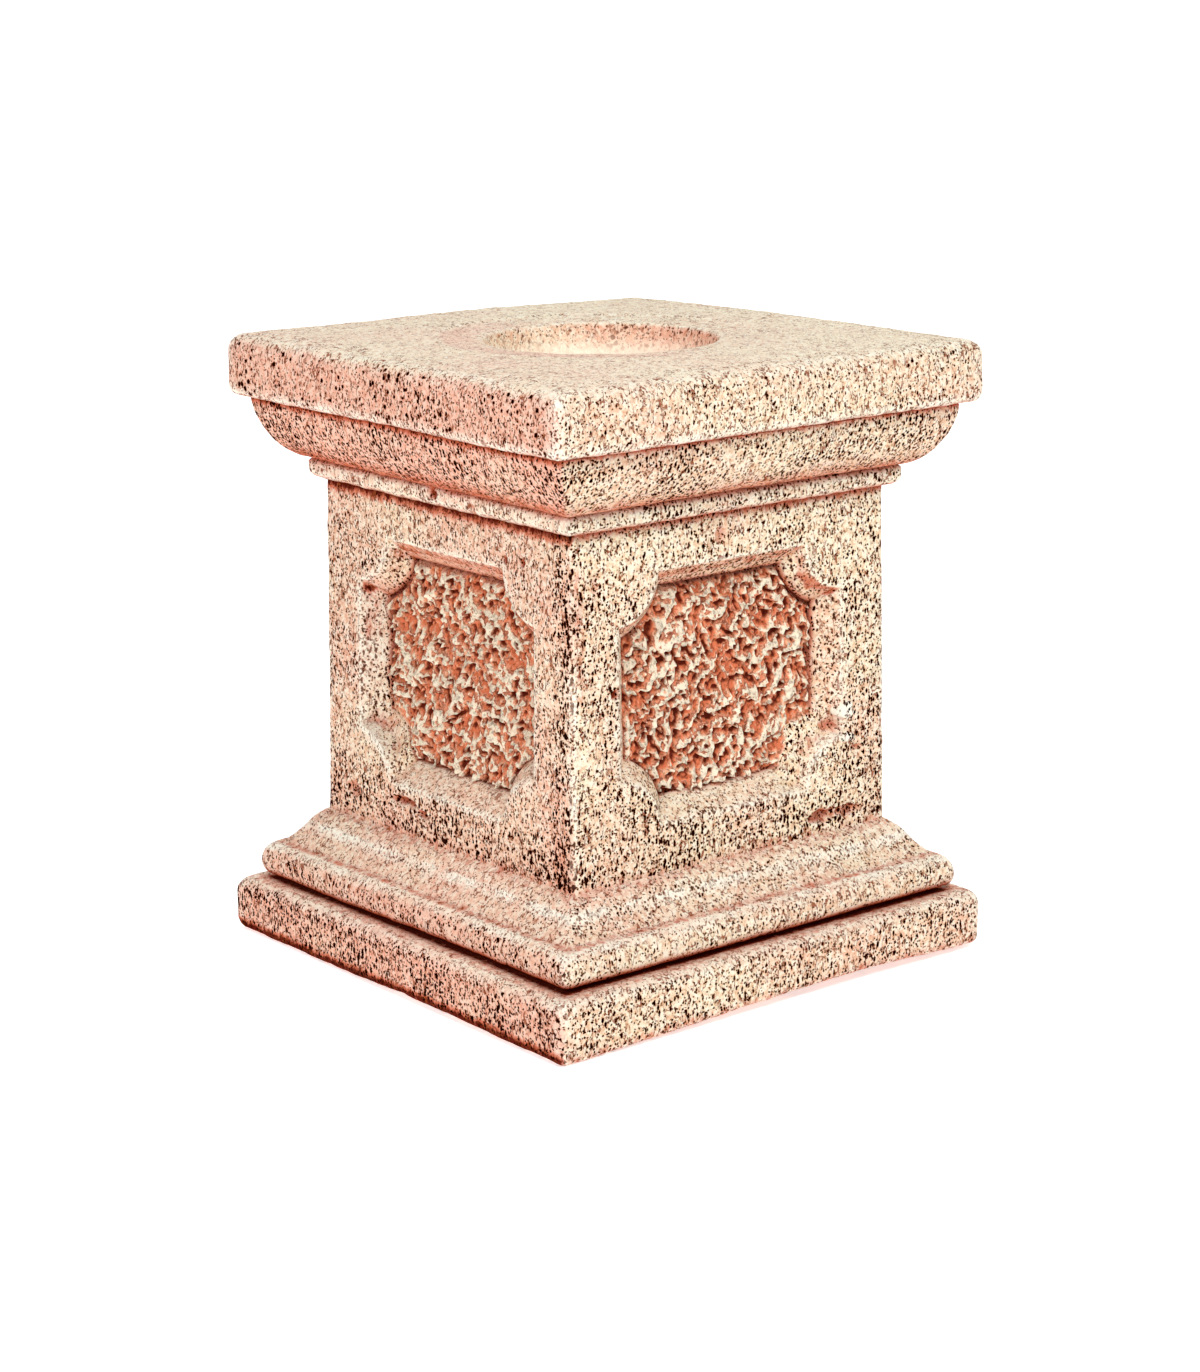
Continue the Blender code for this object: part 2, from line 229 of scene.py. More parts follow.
def capRows():
    c = casting
    rows = moulded(bow((dieHalf, dieTop + c["filletEase"]), c["filletOut"], c["filletEase"], -90))
    rows[0] = (dieHalfAt(dieTop), dieTop, c["dieCorner"], calmOf["dieEdge"])
    rows.insert(1, (dieHalfAt(dieTop) - c["creaseDepth"], dieTop + c["creaseHeight"],
                    c["dieCorner"], calmOf["crease"]))
    rows += moulded([(filletHalf, filletTop - c["grooveDepth"])])
    rows += moulded([(filletHalf - c["grooveDepth"], filletTop)], calmOf["groove"])
    bowl = bow((filletHalf, ovoloTop), c["ovoloOut"], c["ovoloHeight"], -90, c["ovoloFullness"])
    rows += moulded(bowl[1:-1] + [(ovoloHalf - c["ovoloHeadIn"], ovoloTop - c["creaseHeight"] * 1.2)])
    rows += moulded([(ovoloHalf - c["creaseDepth"] * 1.6, ovoloTop - c["ovoloHeadIn"])], calmOf["groove"])
    rows += roundedEdge(slabHalf, ovoloTop + c["slabFootRound"], c["slabFootRound"], -90)
    rows += roundedEdge(slabHalf, bedHeight - c["slabCrown"] - c["slabTopRound"], c["slabTopRound"], 0)
    rows.append((slabHalf - c["slabTopRound"] - c["slabCrownWidth"], bedHeight,
                 c["blockCorner"], calmOf["bedEdge"]))
    return rows


def fillRows(rows, longest):
    # extra rows wherever two stand further apart than longest
    filled = [rows[0]]
    for row in rows[1:]:
        last = filled[-1]
        gap = math.hypot(row[0] - last[0], row[1] - last[1])
        steps = max(1, math.ceil(gap / longest - 0.2))
        for step in range(1, steps + 1):
            filled.append(tuple(a + (b - a) * step / steps for a, b in zip(last, row)))
    return filled


def cornerPoints(half, corner, turn):
    sideX, sideY = ((1, 1), (-1, 1), (-1, -1), (1, -1))[turn]
    points = []
    for step in range(casting["cornerSteps"] + 1):
        angle = math.radians(90.0 * (turn + step / casting["cornerSteps"]))
        points.append((sideX * (half - corner) + corner * math.cos(angle),
                       sideY * (half - corner) + corner * math.sin(angle)))
    return points


def joinCorners(corners, steps):
    # the four corner curves in order, with evenly spaced points on the straights between them
    ring = []
    for turn, curve in enumerate(corners):
        ring += curve
        start, end = curve[-1], corners[(turn + 1) % 4][0]
        count = steps[turn % 2]
        for step in range(1, count):
            share = step / count
            ring.append((start[0] + (end[0] - start[0]) * share, start[1] + (end[1] - start[1]) * share))
    return ring


def planRing(half, corner):
    # rounded square, anticlockwise from above, starting at the +X end of the +X +Y corner
    corners = [cornerPoints(half, corner, turn) for turn in range(4)]
    return joinCorners(corners, (casting["sideSteps"], casting["sideSteps"]))


def bridge(rings):
    # squares between each ring of points and the next
    for lower, upper in zip(rings, rings[1:]):
        for index in range(len(lower)):
            following = (index + 1) % len(lower)
            skin(lower[index], lower[following], upper[following], upper[index])


def stackRings(rows):
    rings = [[spot(x, y, z, calm) for x, y in planRing(half, corner)] for half, z, corner, calm in rows]
    bridge(rings)
    return rings


def scatter(column, row, seed, step, reach=0.28):
    # grid points nudged off their rows, so the triangles don't line up
    at = Vector((column * 1.63, row * 1.63, seed))
    return noise.noise(at + wanderAcross) * reach * step, noise.noise(at + wanderAlong) * reach * step


def weave(loops, inner, ids, keep, flip=False):
    # triangles over closed loops and the points between; keep(centre, corners) says which of them stay
    points = []
    edges = []
    for loop in loops:
        start = len(points)
        points += loop
        edges += [(start + i, start + (i + 1) % len(loop)) for i in range(len(loop))]
    cloud = [Vector(point) for point in points + inner]
    made = geometry.delaunay_2d_cdt(cloud, edges, [], 0, 1e-7)
    for triangle in made[2]:
        corners = [made[0][i] for i in triangle]
        if keep((corners[0] + corners[1] + corners[2]) / 3, corners):
            a, b, c = (ids[made[3][i][0]] for i in triangle)
            skin(a, c, b) if flip else skin(a, b, c)


def gridAbout(middle, half, counts, shift, step, keep, seed):
    # nudged points in rows, every other row moved along by shift; keep(x, y) says which of them stay
    columns, rows = counts
    points = []
    for row in range(rows + 1):
        for column in range(columns + 1):
            dx, dy = scatter(column, row, seed, step)
            x = middle[0] + half[0] * (2 * (column + shift * (row % 2)) / columns - 1) + dx
            y = middle[1] + half[1] * (2 * row / rows - 1) + dy
            if keep(x, y):
                points.append((x, y))
    return points


def gridInside(halfX, halfY, step, keep, seed):
    counts = (round(2 * halfX / step), round(2 * halfY / (step * 0.9)))
    return gridAbout((0, 0), (halfX, halfY), counts, 0.5, step, keep, seed)


def outlineOf(inset):
    # lobed rectangle moved in by inset; the lobes stay centred on its corners
    radius = panel["lobeRadius"] + inset
    lean = math.asin(inset / radius)
    arcs = []
    for turn, (sideX, sideZ) in enumerate(((1, 1), (-1, 1), (-1, -1), (1, -1))):
        first = math.pi * (1.5 + 0.5 * turn) - lean
        last = math.pi * (1.0 + 0.5 * turn) + lean
        arc = []
        for step in range(panel["lobeSteps"] + 1):
            angle = first + (last - first) * step / panel["lobeSteps"]
            arc.append((sideX * panelHalfW + radius * math.cos(angle),
                        sideZ * panelHalfH + radius * math.sin(angle)))
        arcs.append(arc)
    return joinCorners(arcs, (panel["topSteps"], panel["sideSteps"]))


def insidePanel(x, z, inset):
    if abs(x) > panelHalfW - inset or abs(z) > panelHalfH - inset:
        return False
    return math.hypot(panelHalfW - abs(x), panelHalfH - abs(z)) > panel["lobeRadius"] + inset


def wander(at, reach):
    return Vector((noise.noise(at + wanderAcross), noise.noise(at + wanderAlong), 0.0)) * reach


def ridgeNoise(at, thin):
    # narrow crests where the noise crosses nought
    return max(0.0, 1.0 - abs(noise.noise(at)) * thin)


def lumpAt(x, z, turn):
    # height of the rough ground over its bed, and how near its crest a point is, 0 to 1
    p = panel
    seed = p["seedStep"] * (turn + 1)
    at = Vector((x / p["lumpSize"], z / p["lumpSize"], seed))
    at += wander(at * p["lumpWarpScale"], p["lumpWarp"])
    value = noise.noise(at) + p["lumpDetail"] * noise.noise(at * p["lumpDetailScale"])
    broad = smoothStep(p["lumpLow"], p["lumpHigh"], value)
    slant = math.radians(p["ridgeSlant"]) * (1 if turn % 2 == 0 else -1)
    along = (x * math.cos(slant) + z * math.sin(slant)) / p["ridgeStretch"]
    across = z * math.cos(slant) - x * math.sin(slant)
    flow = Vector((along, across, 0.0))
    ridgeAt = flow / p["ridgeSize"] + Vector((0.0, 0.0, seed + 1.7))
    ridgeAt += wander(ridgeAt * p["ridgeWarpScale"], p["ridgeWarp"])
    ridge = ridgeNoise(ridgeAt, p["ridgeThin"])
    crestAt = flow / p["crestSize"] + Vector((3.1, 0.0, seed + 4.9))
    crestAt += wander(crestAt * p["crestWarpScale"], p["crestWarp"])
    crest = ridgeNoise(crestAt, p["crestThin"])
    crumb = noise.noise(Vector((x, z, 0.0)) / p["crumbSize"] + Vector((0.0, 0.0, seed)))
    body = 0.7 + 0.3 * broad
    fine = crest * (0.6 + 0.4 * max(broad, ridge))
    rise = p["lumpRise"] * p["lumpShare"] * broad + p["ridgeRise"] * ridge * body
    rise += p["crestRise"] * fine + p["crumbRise"] * crumb
    share = 0.02 * broad + 0.58 * ridge * body + 0.46 * fine
    return max(0.0, rise), max(0.0, min(1.0, share + 0.1 * crumb))


# where the mould or time smeared the panel of each side: x, z, reach, the lobe beside it and its slope
smears = {
    0: (0.074, -0.06, 0.026, (0.092, -0.08), 0.24),
    3: (-0.076, -0.054, 0.017, (-0.092, -0.08), 0.36),
    1: (-0.08, 0.062, 0.014, (-0.092, 0.08), 0.4),
    2: (0.08, -0.06, 0.016, (0.092, -0.08), 0.38),
}


def smearAt(side, x, z):
    # how strongly a point is smeared, and the depth it is smeared to, which grows away from the lobe
    middleX, middleZ, reach, corner, slope = smears[side]
    away = math.hypot(x - middleX, z - middleZ) / reach
    away += 0.35 * noise.noise(Vector((x * 60, z * 60, side + 0.5)))
    fromCorner = math.hypot(x - corner[0], z - corner[1])
    deepest = panel["revealDepth"] + panel["dropDepth"]
    return 1.0 - smoothStep(0.55, 1.45, away), min(deepest, fromCorner * slope)


def addPanel(turn):
    # rings down the reveal, then the rough ground; gives back the outline and its points
    p = panel
    edge = calmOf["panelEdge"]
    bedDepth = p["revealDepth"] + p["dropDepth"]
    bedInset = p["revealWidth"] + p["dropLean"]
    shares = [step / p["revealSteps"] for step in range(p["revealSteps"])]
    stages = [(p["revealWidth"] * share, p["revealDepth"] * share, calmOf["reveal"]) for share in shares]
    stages += [(p["revealWidth"] - p["arrisRound"], p["revealDepth"] - 0.7 * p["arrisRound"], edge),
               (p["revealWidth"], p["revealDepth"] + 0.5 * p["arrisRound"], edge),
               ((p["revealWidth"] + bedInset) / 2, (p["revealDepth"] + bedDepth) / 2, edge),
               (bedInset, bedDepth, edge)]

    def settle(x, z, depth, calm, lump=-1.0):
        share, flatDepth = smearAt(turn, x, z)
        if depth == 0:
            share = 0
        depth += (flatDepth - depth) * share
        if lump >= 0:
            lump = -1.0 if share > 0.62 else lump * (1 - share) + 0.5 * share
        return spot(*onSide(turn, x, depth, panelMiddle + z), calm * (1 - share), lump)

    rings = [[settle(x, z, depth, calm) for x, z in outlineOf(inset)] for inset, depth, calm in stages]
    bridge(rings)

    clear = bedInset + p["groundStep"] * 0.6
    inner = gridInside(panelHalfW, panelHalfH, p["groundStep"],
                       lambda x, z: insidePanel(x, z, clear), turn + 3.1)
    ids = list(rings[-1])
    for x, z in inner:
        rise, lump = lumpAt(x, z, turn)
        rise *= 1 - 0.8 * smearAt(turn, x, z)[0]
        lean = p["overhang"] * (rise - 0.25 * p["lumpRise"])
        ids.append(settle(x, z - lean, bedDepth - rise, 0.0, lump))
    weave([outlineOf(bedInset)], inner, ids,
          lambda centre, corners: insidePanel(centre.x, centre.y, bedInset - 1e-6))
    return outlineOf(0.0), rings[0]


def addDie():
    # four corner strips, then the four flats with their panels
    c = casting
    count = math.ceil((dieTop - dieFoot) / c["dieRowStep"])
    heights = [dieFoot + (dieTop - dieFoot) * row / count for row in range(count + 1)]
    for turn in range(4):
        strips = []
        for z in heights:
            strip = cornerPoints(dieHalfAt(z), c["dieCorner"], turn)
            strips.append([spot(x, y, z, calmOf["dieCorner"]) for x, y in strip])
        for low, top in zip(strips, strips[1:]):
            for step in range(c["cornerSteps"]):
                skin(low[step], low[step + 1], top[step + 1], top[step])

    def flatHalf(z):
        return dieHalfAt(z + panelMiddle) - c["dieCorner"]

    low, top = dieFoot - panelMiddle, dieTop - panelMiddle
    middle = (top + low) / 2
    across = [2 * step / c["sideSteps"] - 1 for step in range(c["sideSteps"] + 1)]
    up = [z - panelMiddle for z in heights[1:-1]]
    border = [(x * flatHalf(low), low) for x in across] + [(flatHalf(z), z) for z in up]
    border += [(x * flatHalf(top), top) for x in reversed(across)]
    border += [(-flatHalf(z), z) for z in reversed(up)]

    def plain(x, z, margin=c["flatStep"] * 0.55):
        if abs(x) > flatHalf(z) - margin or z < low + margin or z > top - margin:
            return False
        return not insidePanel(x, z, -margin)

    def stays(centre, corners):
        # slivers between points of one upright border fall away
        sliver = all(abs(x) > flatHalf(z) - 1e-5 for x, z in corners)
        return not sliver and not insidePanel(centre.x, centre.y, -1e-6)

    for turn in range(4):
        outline, outlineIds = addPanel(turn)
        inner = gridInside(flatHalf(0), (top - low) / 2, c["flatStep"],
                           lambda x, z: plain(x, z + middle), turn)
        inner = thickenNear([(x, z + middle) for x, z in inner], turn, plain)
        ids = outlineIds + [spot(*onSide(turn, x, 0.0, panelMiddle + z)) for x, z in border + inner]
        weave([outline, border], inner, ids, stays)


# pits, gouges and knocks on each side of the die, as x, z, half width, half height, depth and darkness;
# x runs to the right seen from outside; darkness above nought is dirt and painted shade in the pit, below
# nought a pale knock
marks = {
    0: [(0.0755, 0.099, 0.0125, 0.005, 0.004, 0.85), (0.0985, 0.0985, 0.0135, 0.0042, 0.003, 0.75),
        (-0.01, 0.2945, 0.0045, 0.007, 0.0022, 0.6), (-0.0945, 0.2075, 0.0032, 0.0034, 0.004, 1.3),
        (0.096, 0.1665, 0.006, 0.007, -0.0028, -1.0), (0.086, 0.156, 0.007, 0.0035, 0.0022, 0.35),
        (0.097, 0.148, 0.009, 0.0034, -0.0018, -0.9), (0.105, 0.14, 0.006, 0.0022, 0.0018, 0.6),
        (-0.11, 0.276, 0.0026, 0.009, 0.0014, 0.4)],
    3: [(-0.045, 0.109, 0.015, 0.003, 0.0032, 0.9), (-0.024, 0.104, 0.008, 0.0026, 0.0024, 0.8),
        (0.0626, 0.284, 0.0025, 0.003, 0.0034, 1.2), (0.0806, 0.284, 0.0025, 0.003, 0.0034, 1.2),
        (-0.101, 0.106, 0.008, 0.006, 0.002, 0.6), (0.001, 0.3176, 0.0048, 0.004, 0.0026, 1.3),
        (0.041, 0.315, 0.0022, 0.0056, 0.002, 0.9)],
    1: [(0.06, 0.298, 0.006, 0.003, 0.0026, 0.8), (-0.07, 0.101, 0.011, 0.004, 0.0028, 0.8),
        (0.108, 0.2, 0.003, 0.0034, 0.0036, 1.1)],
    2: [(-0.045, 0.103, 0.012, 0.004, 0.003, 0.8), (0.02, 0.296, 0.004, 0.006, 0.0024, 0.8),
        (-0.106, 0.245, 0.0028, 0.003, 0.0038, 1.1)],
}


def markReach(side, mark, x, z):
    rough = 0.45 * noise.noise(Vector((x * 260, z * 260, side + 4.7)))
    return math.hypot((x - mark[0]) / mark[2], (z - mark[1]) / mark[3]) + rough


def thickenNear(points, side, plain, step=0.0012):
    # closer points where a mark lies on this side of the die
    for markX, height, halfW, halfH, _, _ in marks[side]:
        if not dieFoot < height < dieTop:
            continue
        markZ = height - panelMiddle
        reachX = halfW * 1.35
        reachZ = halfH * 1.35
        points = [p for p in points if abs(p[0] - markX) > reachX or abs(p[1] - markZ) > reachZ]
        counts = (math.ceil(2 * reachX / step), math.ceil(2 * reachZ / step))
        points += gridAbout((markX, markZ), (reachX, reachZ), counts, 0, step, plain, side + 9.1)
    return points


def addTop(rim):
    # the well turned about its middle, then the flat bed between the slab's edge and the dished ring
    w = well
    mouth = bedHeight - w["dishDepth"]
    floor = bedHeight - w["depth"]
    floorRadius = w["radius"] - w["taper"]
    dishRadius = w["radius"] + w["dishWidth"]
    turned = [(dishRadius, bedHeight, calmOf["bedEdge"]),
              (dishRadius - w["dishEdgeWidth"], bedHeight - w["dishEdgeDepth"], calmOf["dishEdge"])]
    lip = (w["radius"] + w["lipRound"], mouth - w["lipRound"])
    turned += [(r, z, calmOf["lip"]) for r, z in bow(lip, w["lipRound"], w["lipRound"], 90)]
    rounding = (floorRadius - w["floorRound"], floor + w["floorRound"])
    turned += [(r, z, calmOf["wellFloor"]) for r, z in
               bow(rounding, w["floorRound"], w["floorRound"], -90)[::-1]]
    turned = fillRows(turned, w["rowStep"])
    angles = [2 * math.pi * step / w["steps"] for step in range(w["steps"])]
    rings = [[spot(radius * math.cos(angle), radius * math.sin(angle), z, calm) for angle in angles]
             for radius, z, calm in turned]
    bridge(rings)
    innermost = turned[-1][0] - w["floorMargin"]
    closeOff(rings[-1], floor, w["floorStep"], 8.8, calmOf["wellFloor"],
             lambda x, y: math.hypot(x, y) < innermost)

    step = casting["flatStep"]
    rimPoints = [spots[i][:2] for i in rim]
    circle = [spots[i][:2] for i in rings[0]]
    rimHalf = max(x for x, y in rimPoints)
    chord = dishRadius * math.cos(math.pi / w["steps"]) - 1e-5

    def onBed(x, y, margin=step * 0.55):
        return max(abs(x), abs(y)) < rimHalf - margin and math.hypot(x, y) > dishRadius + margin

    inner = gridInside(rimHalf, rimHalf, step, onBed, 5.5)
    ids = rings[0] + rim + [spot(x, y, bedHeight, calmOf["bed"]) for x, y in inner]
    weave([circle, rimPoints], inner, ids, lambda centre, corners: centre.length > chord)


def closeOff(ring, z, step, seed, calm, within, flip=False):
    # a flat skin inside one ring: the well's floor, or the bed that the pedestal stands on
    border = [spots[i][:2] for i in ring]
    half = max(x for x, y in border)
    inner = gridInside(half, half, step, within, seed)
    ids = ring + [spot(x, y, z, calm) for x, y in inner]
    weave([border], inner, ids, lambda centre, corners: True, flip)


def neighbourSmooth(places, pairs, counts, rounds):
    smooth = places.copy()
    for _ in range(rounds):
        total = np.zeros_like(smooth)
        for axis in range(3):
            total[:, axis] += np.bincount(pairs[:, 0], smooth[pairs[:, 1], axis], len(places))
            total[:, axis] += np.bincount(pairs[:, 1], smooth[pairs[:, 0], axis], len(places))
        smooth = 0.3 * smooth + 0.7 * total / counts[:, None]
    return smooth


def pointNormals(places, triangles):
    a, b, c = (places[triangles[:, k]] for k in range(3))
    faceNormals = np.cross(b - a, c - a)
    normals = np.zeros_like(places)
    for k in range(3):
        for axis in range(3):
            normals[:, axis] += np.bincount(triangles[:, k], faceNormals[:, axis], len(places))
    return normals / np.maximum(1e-12, np.linalg.norm(normals, axis=1))[:, None]


def ramp(low, top, values):
    share = np.clip((values - low) / (top - low), 0.0, 1.0)
    return share * share * (3.0 - 2.0 * share)


def grainAt(places, scale, seed):
    shift = Vector((seed, seed * 0.7, -seed))
    return np.array([noise.noise(Vector(place) * scale + shift) for place in places])


def standOut(places, normals, pairs, counts, rounds):
    # how far each point stands out from the stone about it, below nought in a hollow
    return np.einsum("ij,ij->i", places - neighbourSmooth(places, pairs, counts, rounds), normals)


def turnedTo(normals):
    # how squarely each point faces left (-X) and front (-Y), 0 to 1
    return ramp(0.1, 0.8, -normals[:, 0]), ramp(0.1, 0.8, -normals[:, 1])


def widths(places):
    # the larger and the smaller distance from the middle planes
    away = np.abs(places[:, :2])
    return away.max(axis=1), away.min(axis=1)


# how the cast came out of its mould and how it has worn, in metres; the shelter entries set the reach and
# rays of the painted shade
ageing = {
    "farCornerDip": 0.0034, "farCornerReach": 0.17,
    "baseSag": 0.0028,
    "footArchFront": 0.0058, "footArchLeft": 0.0016,
    "swell": 0.0007, "swellScale": 11.0,
    "ripple": 0.00042, "rippleScale": 62.0,
    "pebble": 0.00034, "pebbleScale": 150.0,
    "groundPebble": 0.4,        # share of the pebbling that the rough ground takes
    "edgeWear": 0.34, "edgeWearMost": 0.0011, "edgeWearScale": 48.0, "edgeChipScale": 130.0,
    "plinthCornerOut": 0.0022, "footRise": 0.024, "footEdge": (0.034, 0.004),
    "shelterReach": 0.026, "shelterRays": 12, "nearRounds": 5, "wideRounds": 36,
}


def settleShape(places):
    # the bed dips to its far corner, the base sags to the left, the plinth's lower edge arches
    a = ageing
    x, y, z = places[:, 0], places[:, 1], places[:, 2]
    farCorner = np.hypot(slabHalf - x, slabHalf - y)
    dip = a["farCornerDip"] * (1 - ramp(0, a["farCornerReach"], farCorner)) * ramp(0.345, bedHeight, z)
    leftness = ramp(-0.02, -plinthHalf, x) * ramp(-0.1, plinthHalf, y)
    belt = ramp(0.0, 0.036, z) * (1 - ramp(0.088, 0.135, z))
    sag = a["baseSag"] * leftness * belt
    farLeft = ramp(0.03, 0.0, np.hypot(plinthHalf + x, plinthHalf - y))
    farLeft *= ramp(0.038, 0.026, z) * ramp(0.0, 0.012, z)
    places[:, 0] -= a["plinthCornerOut"] * farLeft
    places[:, 1] += a["plinthCornerOut"] * farLeft
    low = 1 - ramp(0.0, a["footRise"], z)
    inner, outer = (-plinthHalf + edge for edge in a["footEdge"])
    front = ramp(inner, outer, y)
    archFront = a["footArchFront"] * front * ramp(-plinthHalf, 0.05, x)
    archFront *= 1 - 0.5 * ramp(0.07, plinthHalf, x)
    side = ramp(inner, outer, x)
    archSide = a["footArchLeft"] * side * (1 - ramp(0.0, 0.13, np.abs(y + 0.045)))
    back = ramp(-inner, -outer, np.maximum(x, y))
    archBack = 0.002 * back * (1 - ramp(0.0, 0.15, np.abs(np.where(x > y, y, x) - 0.02)))
    places[:, 2] += low * np.maximum(archFront, np.maximum(archSide, archBack)) - dip - sag
    return places


def ageStone(places, triangles, pairs, counts, calm, lump):
    a = ageing
    places = settleShape(places)
    normals = pointNormals(places, triangles)
    form = standOut(places, normals, pairs, counts, a["nearRounds"])
    onGround = lump >= 0
    under = (places[:, 2] < 0.0008) & (normals[:, 2] < -0.9)
    roughness = (1 - 0.75 * calm) * np.where(onGround, a["groundPebble"], 1.0) * np.where(under, 0.0, 1.0)
    swell = a["swell"] * grainAt(places, a["swellScale"], 3.3)
    ripple = a["ripple"] * grainAt(places, a["rippleScale"], 11.7)
    pebble = a["pebble"] * grainAt(places, a["pebbleScale"], 23.1)
    push = (swell * np.where(onGround | under, 0.0, 1.0) * (1 - 0.6 * calm)) + (ripple + pebble) * roughness
    bite = 0.55 + 0.9 * grainAt(places, a["edgeWearScale"], 41.9)
    bite += 0.5 * grainAt(places, a["edgeChipScale"], 7.7)
    wear = np.clip(form, 0.0, None) * a["edgeWear"] * np.clip(bite, 0.0, 1.6)
    push -= np.where(onGround, 0.0, np.minimum(wear, a["edgeWearMost"]))
    return places + normals * push[:, None], normals


def knockMarks(places, normals, soilAndShade):
    # pushes the marks into the aged stone, darkens them with dirt and painted shade, and pales the knocks
    for index, (x, y, z) in enumerate(places):
        if max(abs(x), abs(y)) < dieHalf - 0.02 or z < dieFoot or z > filletTop:
            continue
        side = (0 if y < 0 else 2) if abs(y) >= abs(x) else (3 if x < 0 else 1)
        across = (x, y, -x, -y)[side]
        for mark in marks[side]:
            markX, markZ, halfW, halfH, depth, dark = mark
            if abs(across - markX) > 2 * halfW or abs(z - markZ) > 2 * halfH:
                continue
            share = 1 - smoothStep(0.45, 1.1, markReach(side, mark, across, z))
            places[index] -= normals[index] * depth * share
            soilAndShade[index] += dark * share
    return places, soilAndShade


# painted shadows in bands under the lobes and along the panels' reveals: where, as (side, x, z, halfW,
# halfH, strength) on the panels' reveals
shadowPatches = [
    (0, 0.066, 0.254, 0.03, 0.008, 0.36), (0, 0.092, 0.245, 0.01, 0.006, 0.48),
    (0, 0.068, 0.224, 0.006, 0.026, 0.4), (0, 0.07, 0.146, 0.026, 0.01, 0.35),
    (3, -0.046, 0.27, 0.016, 0.006, 0.4), (3, -0.087, 0.2425, 0.0075, 0.0036, 1.0),
    (3, 0.078, 0.262, 0.012, 0.012, 0.55), (3, -0.08, 0.15, 0.016, 0.016, 0.45),
    (3, 0.074, 0.134, 0.012, 0.01, 0.6),
    (1, 0.06, 0.262, 0.03, 0.01, 0.5), (1, -0.08, 0.15, 0.014, 0.014, 0.5),
    (2, -0.07, 0.256, 0.016, 0.012, 0.5), (2, 0.07, 0.14, 0.018, 0.012, 0.4),
]


# how strong the painted shade and dirt, the rubbed and painted-highlight edges, the painted pink shade and
# the pores are; of two values the second is what the left side adds
wearAndPaintedLight = {
    "underFillet": (0.75, 0.45), "underSlab": (0.55, 0.45), "ovoloFoot": (0.45, 0.3), "filletLeft": 0.45,
    "noseFoot": 0.42, "lip": 0.5, "joint": 1.25, "jointHalo": (0.4, 0.15), "foot": (0.45, 0.8),
    "frontArris": 0.45, "upperReveal": 0.46,
    "rubbedAndLitArris": 0.9, "rubbedAndLitReveal": 0.55, "rubbedAndLitCorner": 0.6, "rubbedAndLitPatches": (0.8, 0.8, 55.0),
    "pink": (0.3, 0.24), "pinkFront": -0.22, "pinkMoulding": (0.18, 0.38), "pinkTop": 0.05,
    "pinkTopLeft": 0.3, "pinkRing": 0.55, "pinkBaseTop": 0.4,
    "pores": 0.44, "poresLow": 0.19, "poresFront": 0.13, "poresCorner": 0.3, "poresPlinth": (0.13, 0.08),
    "poresOvolo": 0.18, "poresTorus": (0.06, 0.05), "poresTop": -0.24, "poresPatches": (0.16, 26.0),
    "coarseSlab": (0.35, 0.65), "coarseFoot": (0.5, 0.5), "coarsePatches": (0.5, 14.0),
}


def withLeft(name, left):
    plain, more = wearAndPaintedLight[name]
    return plain + more * left


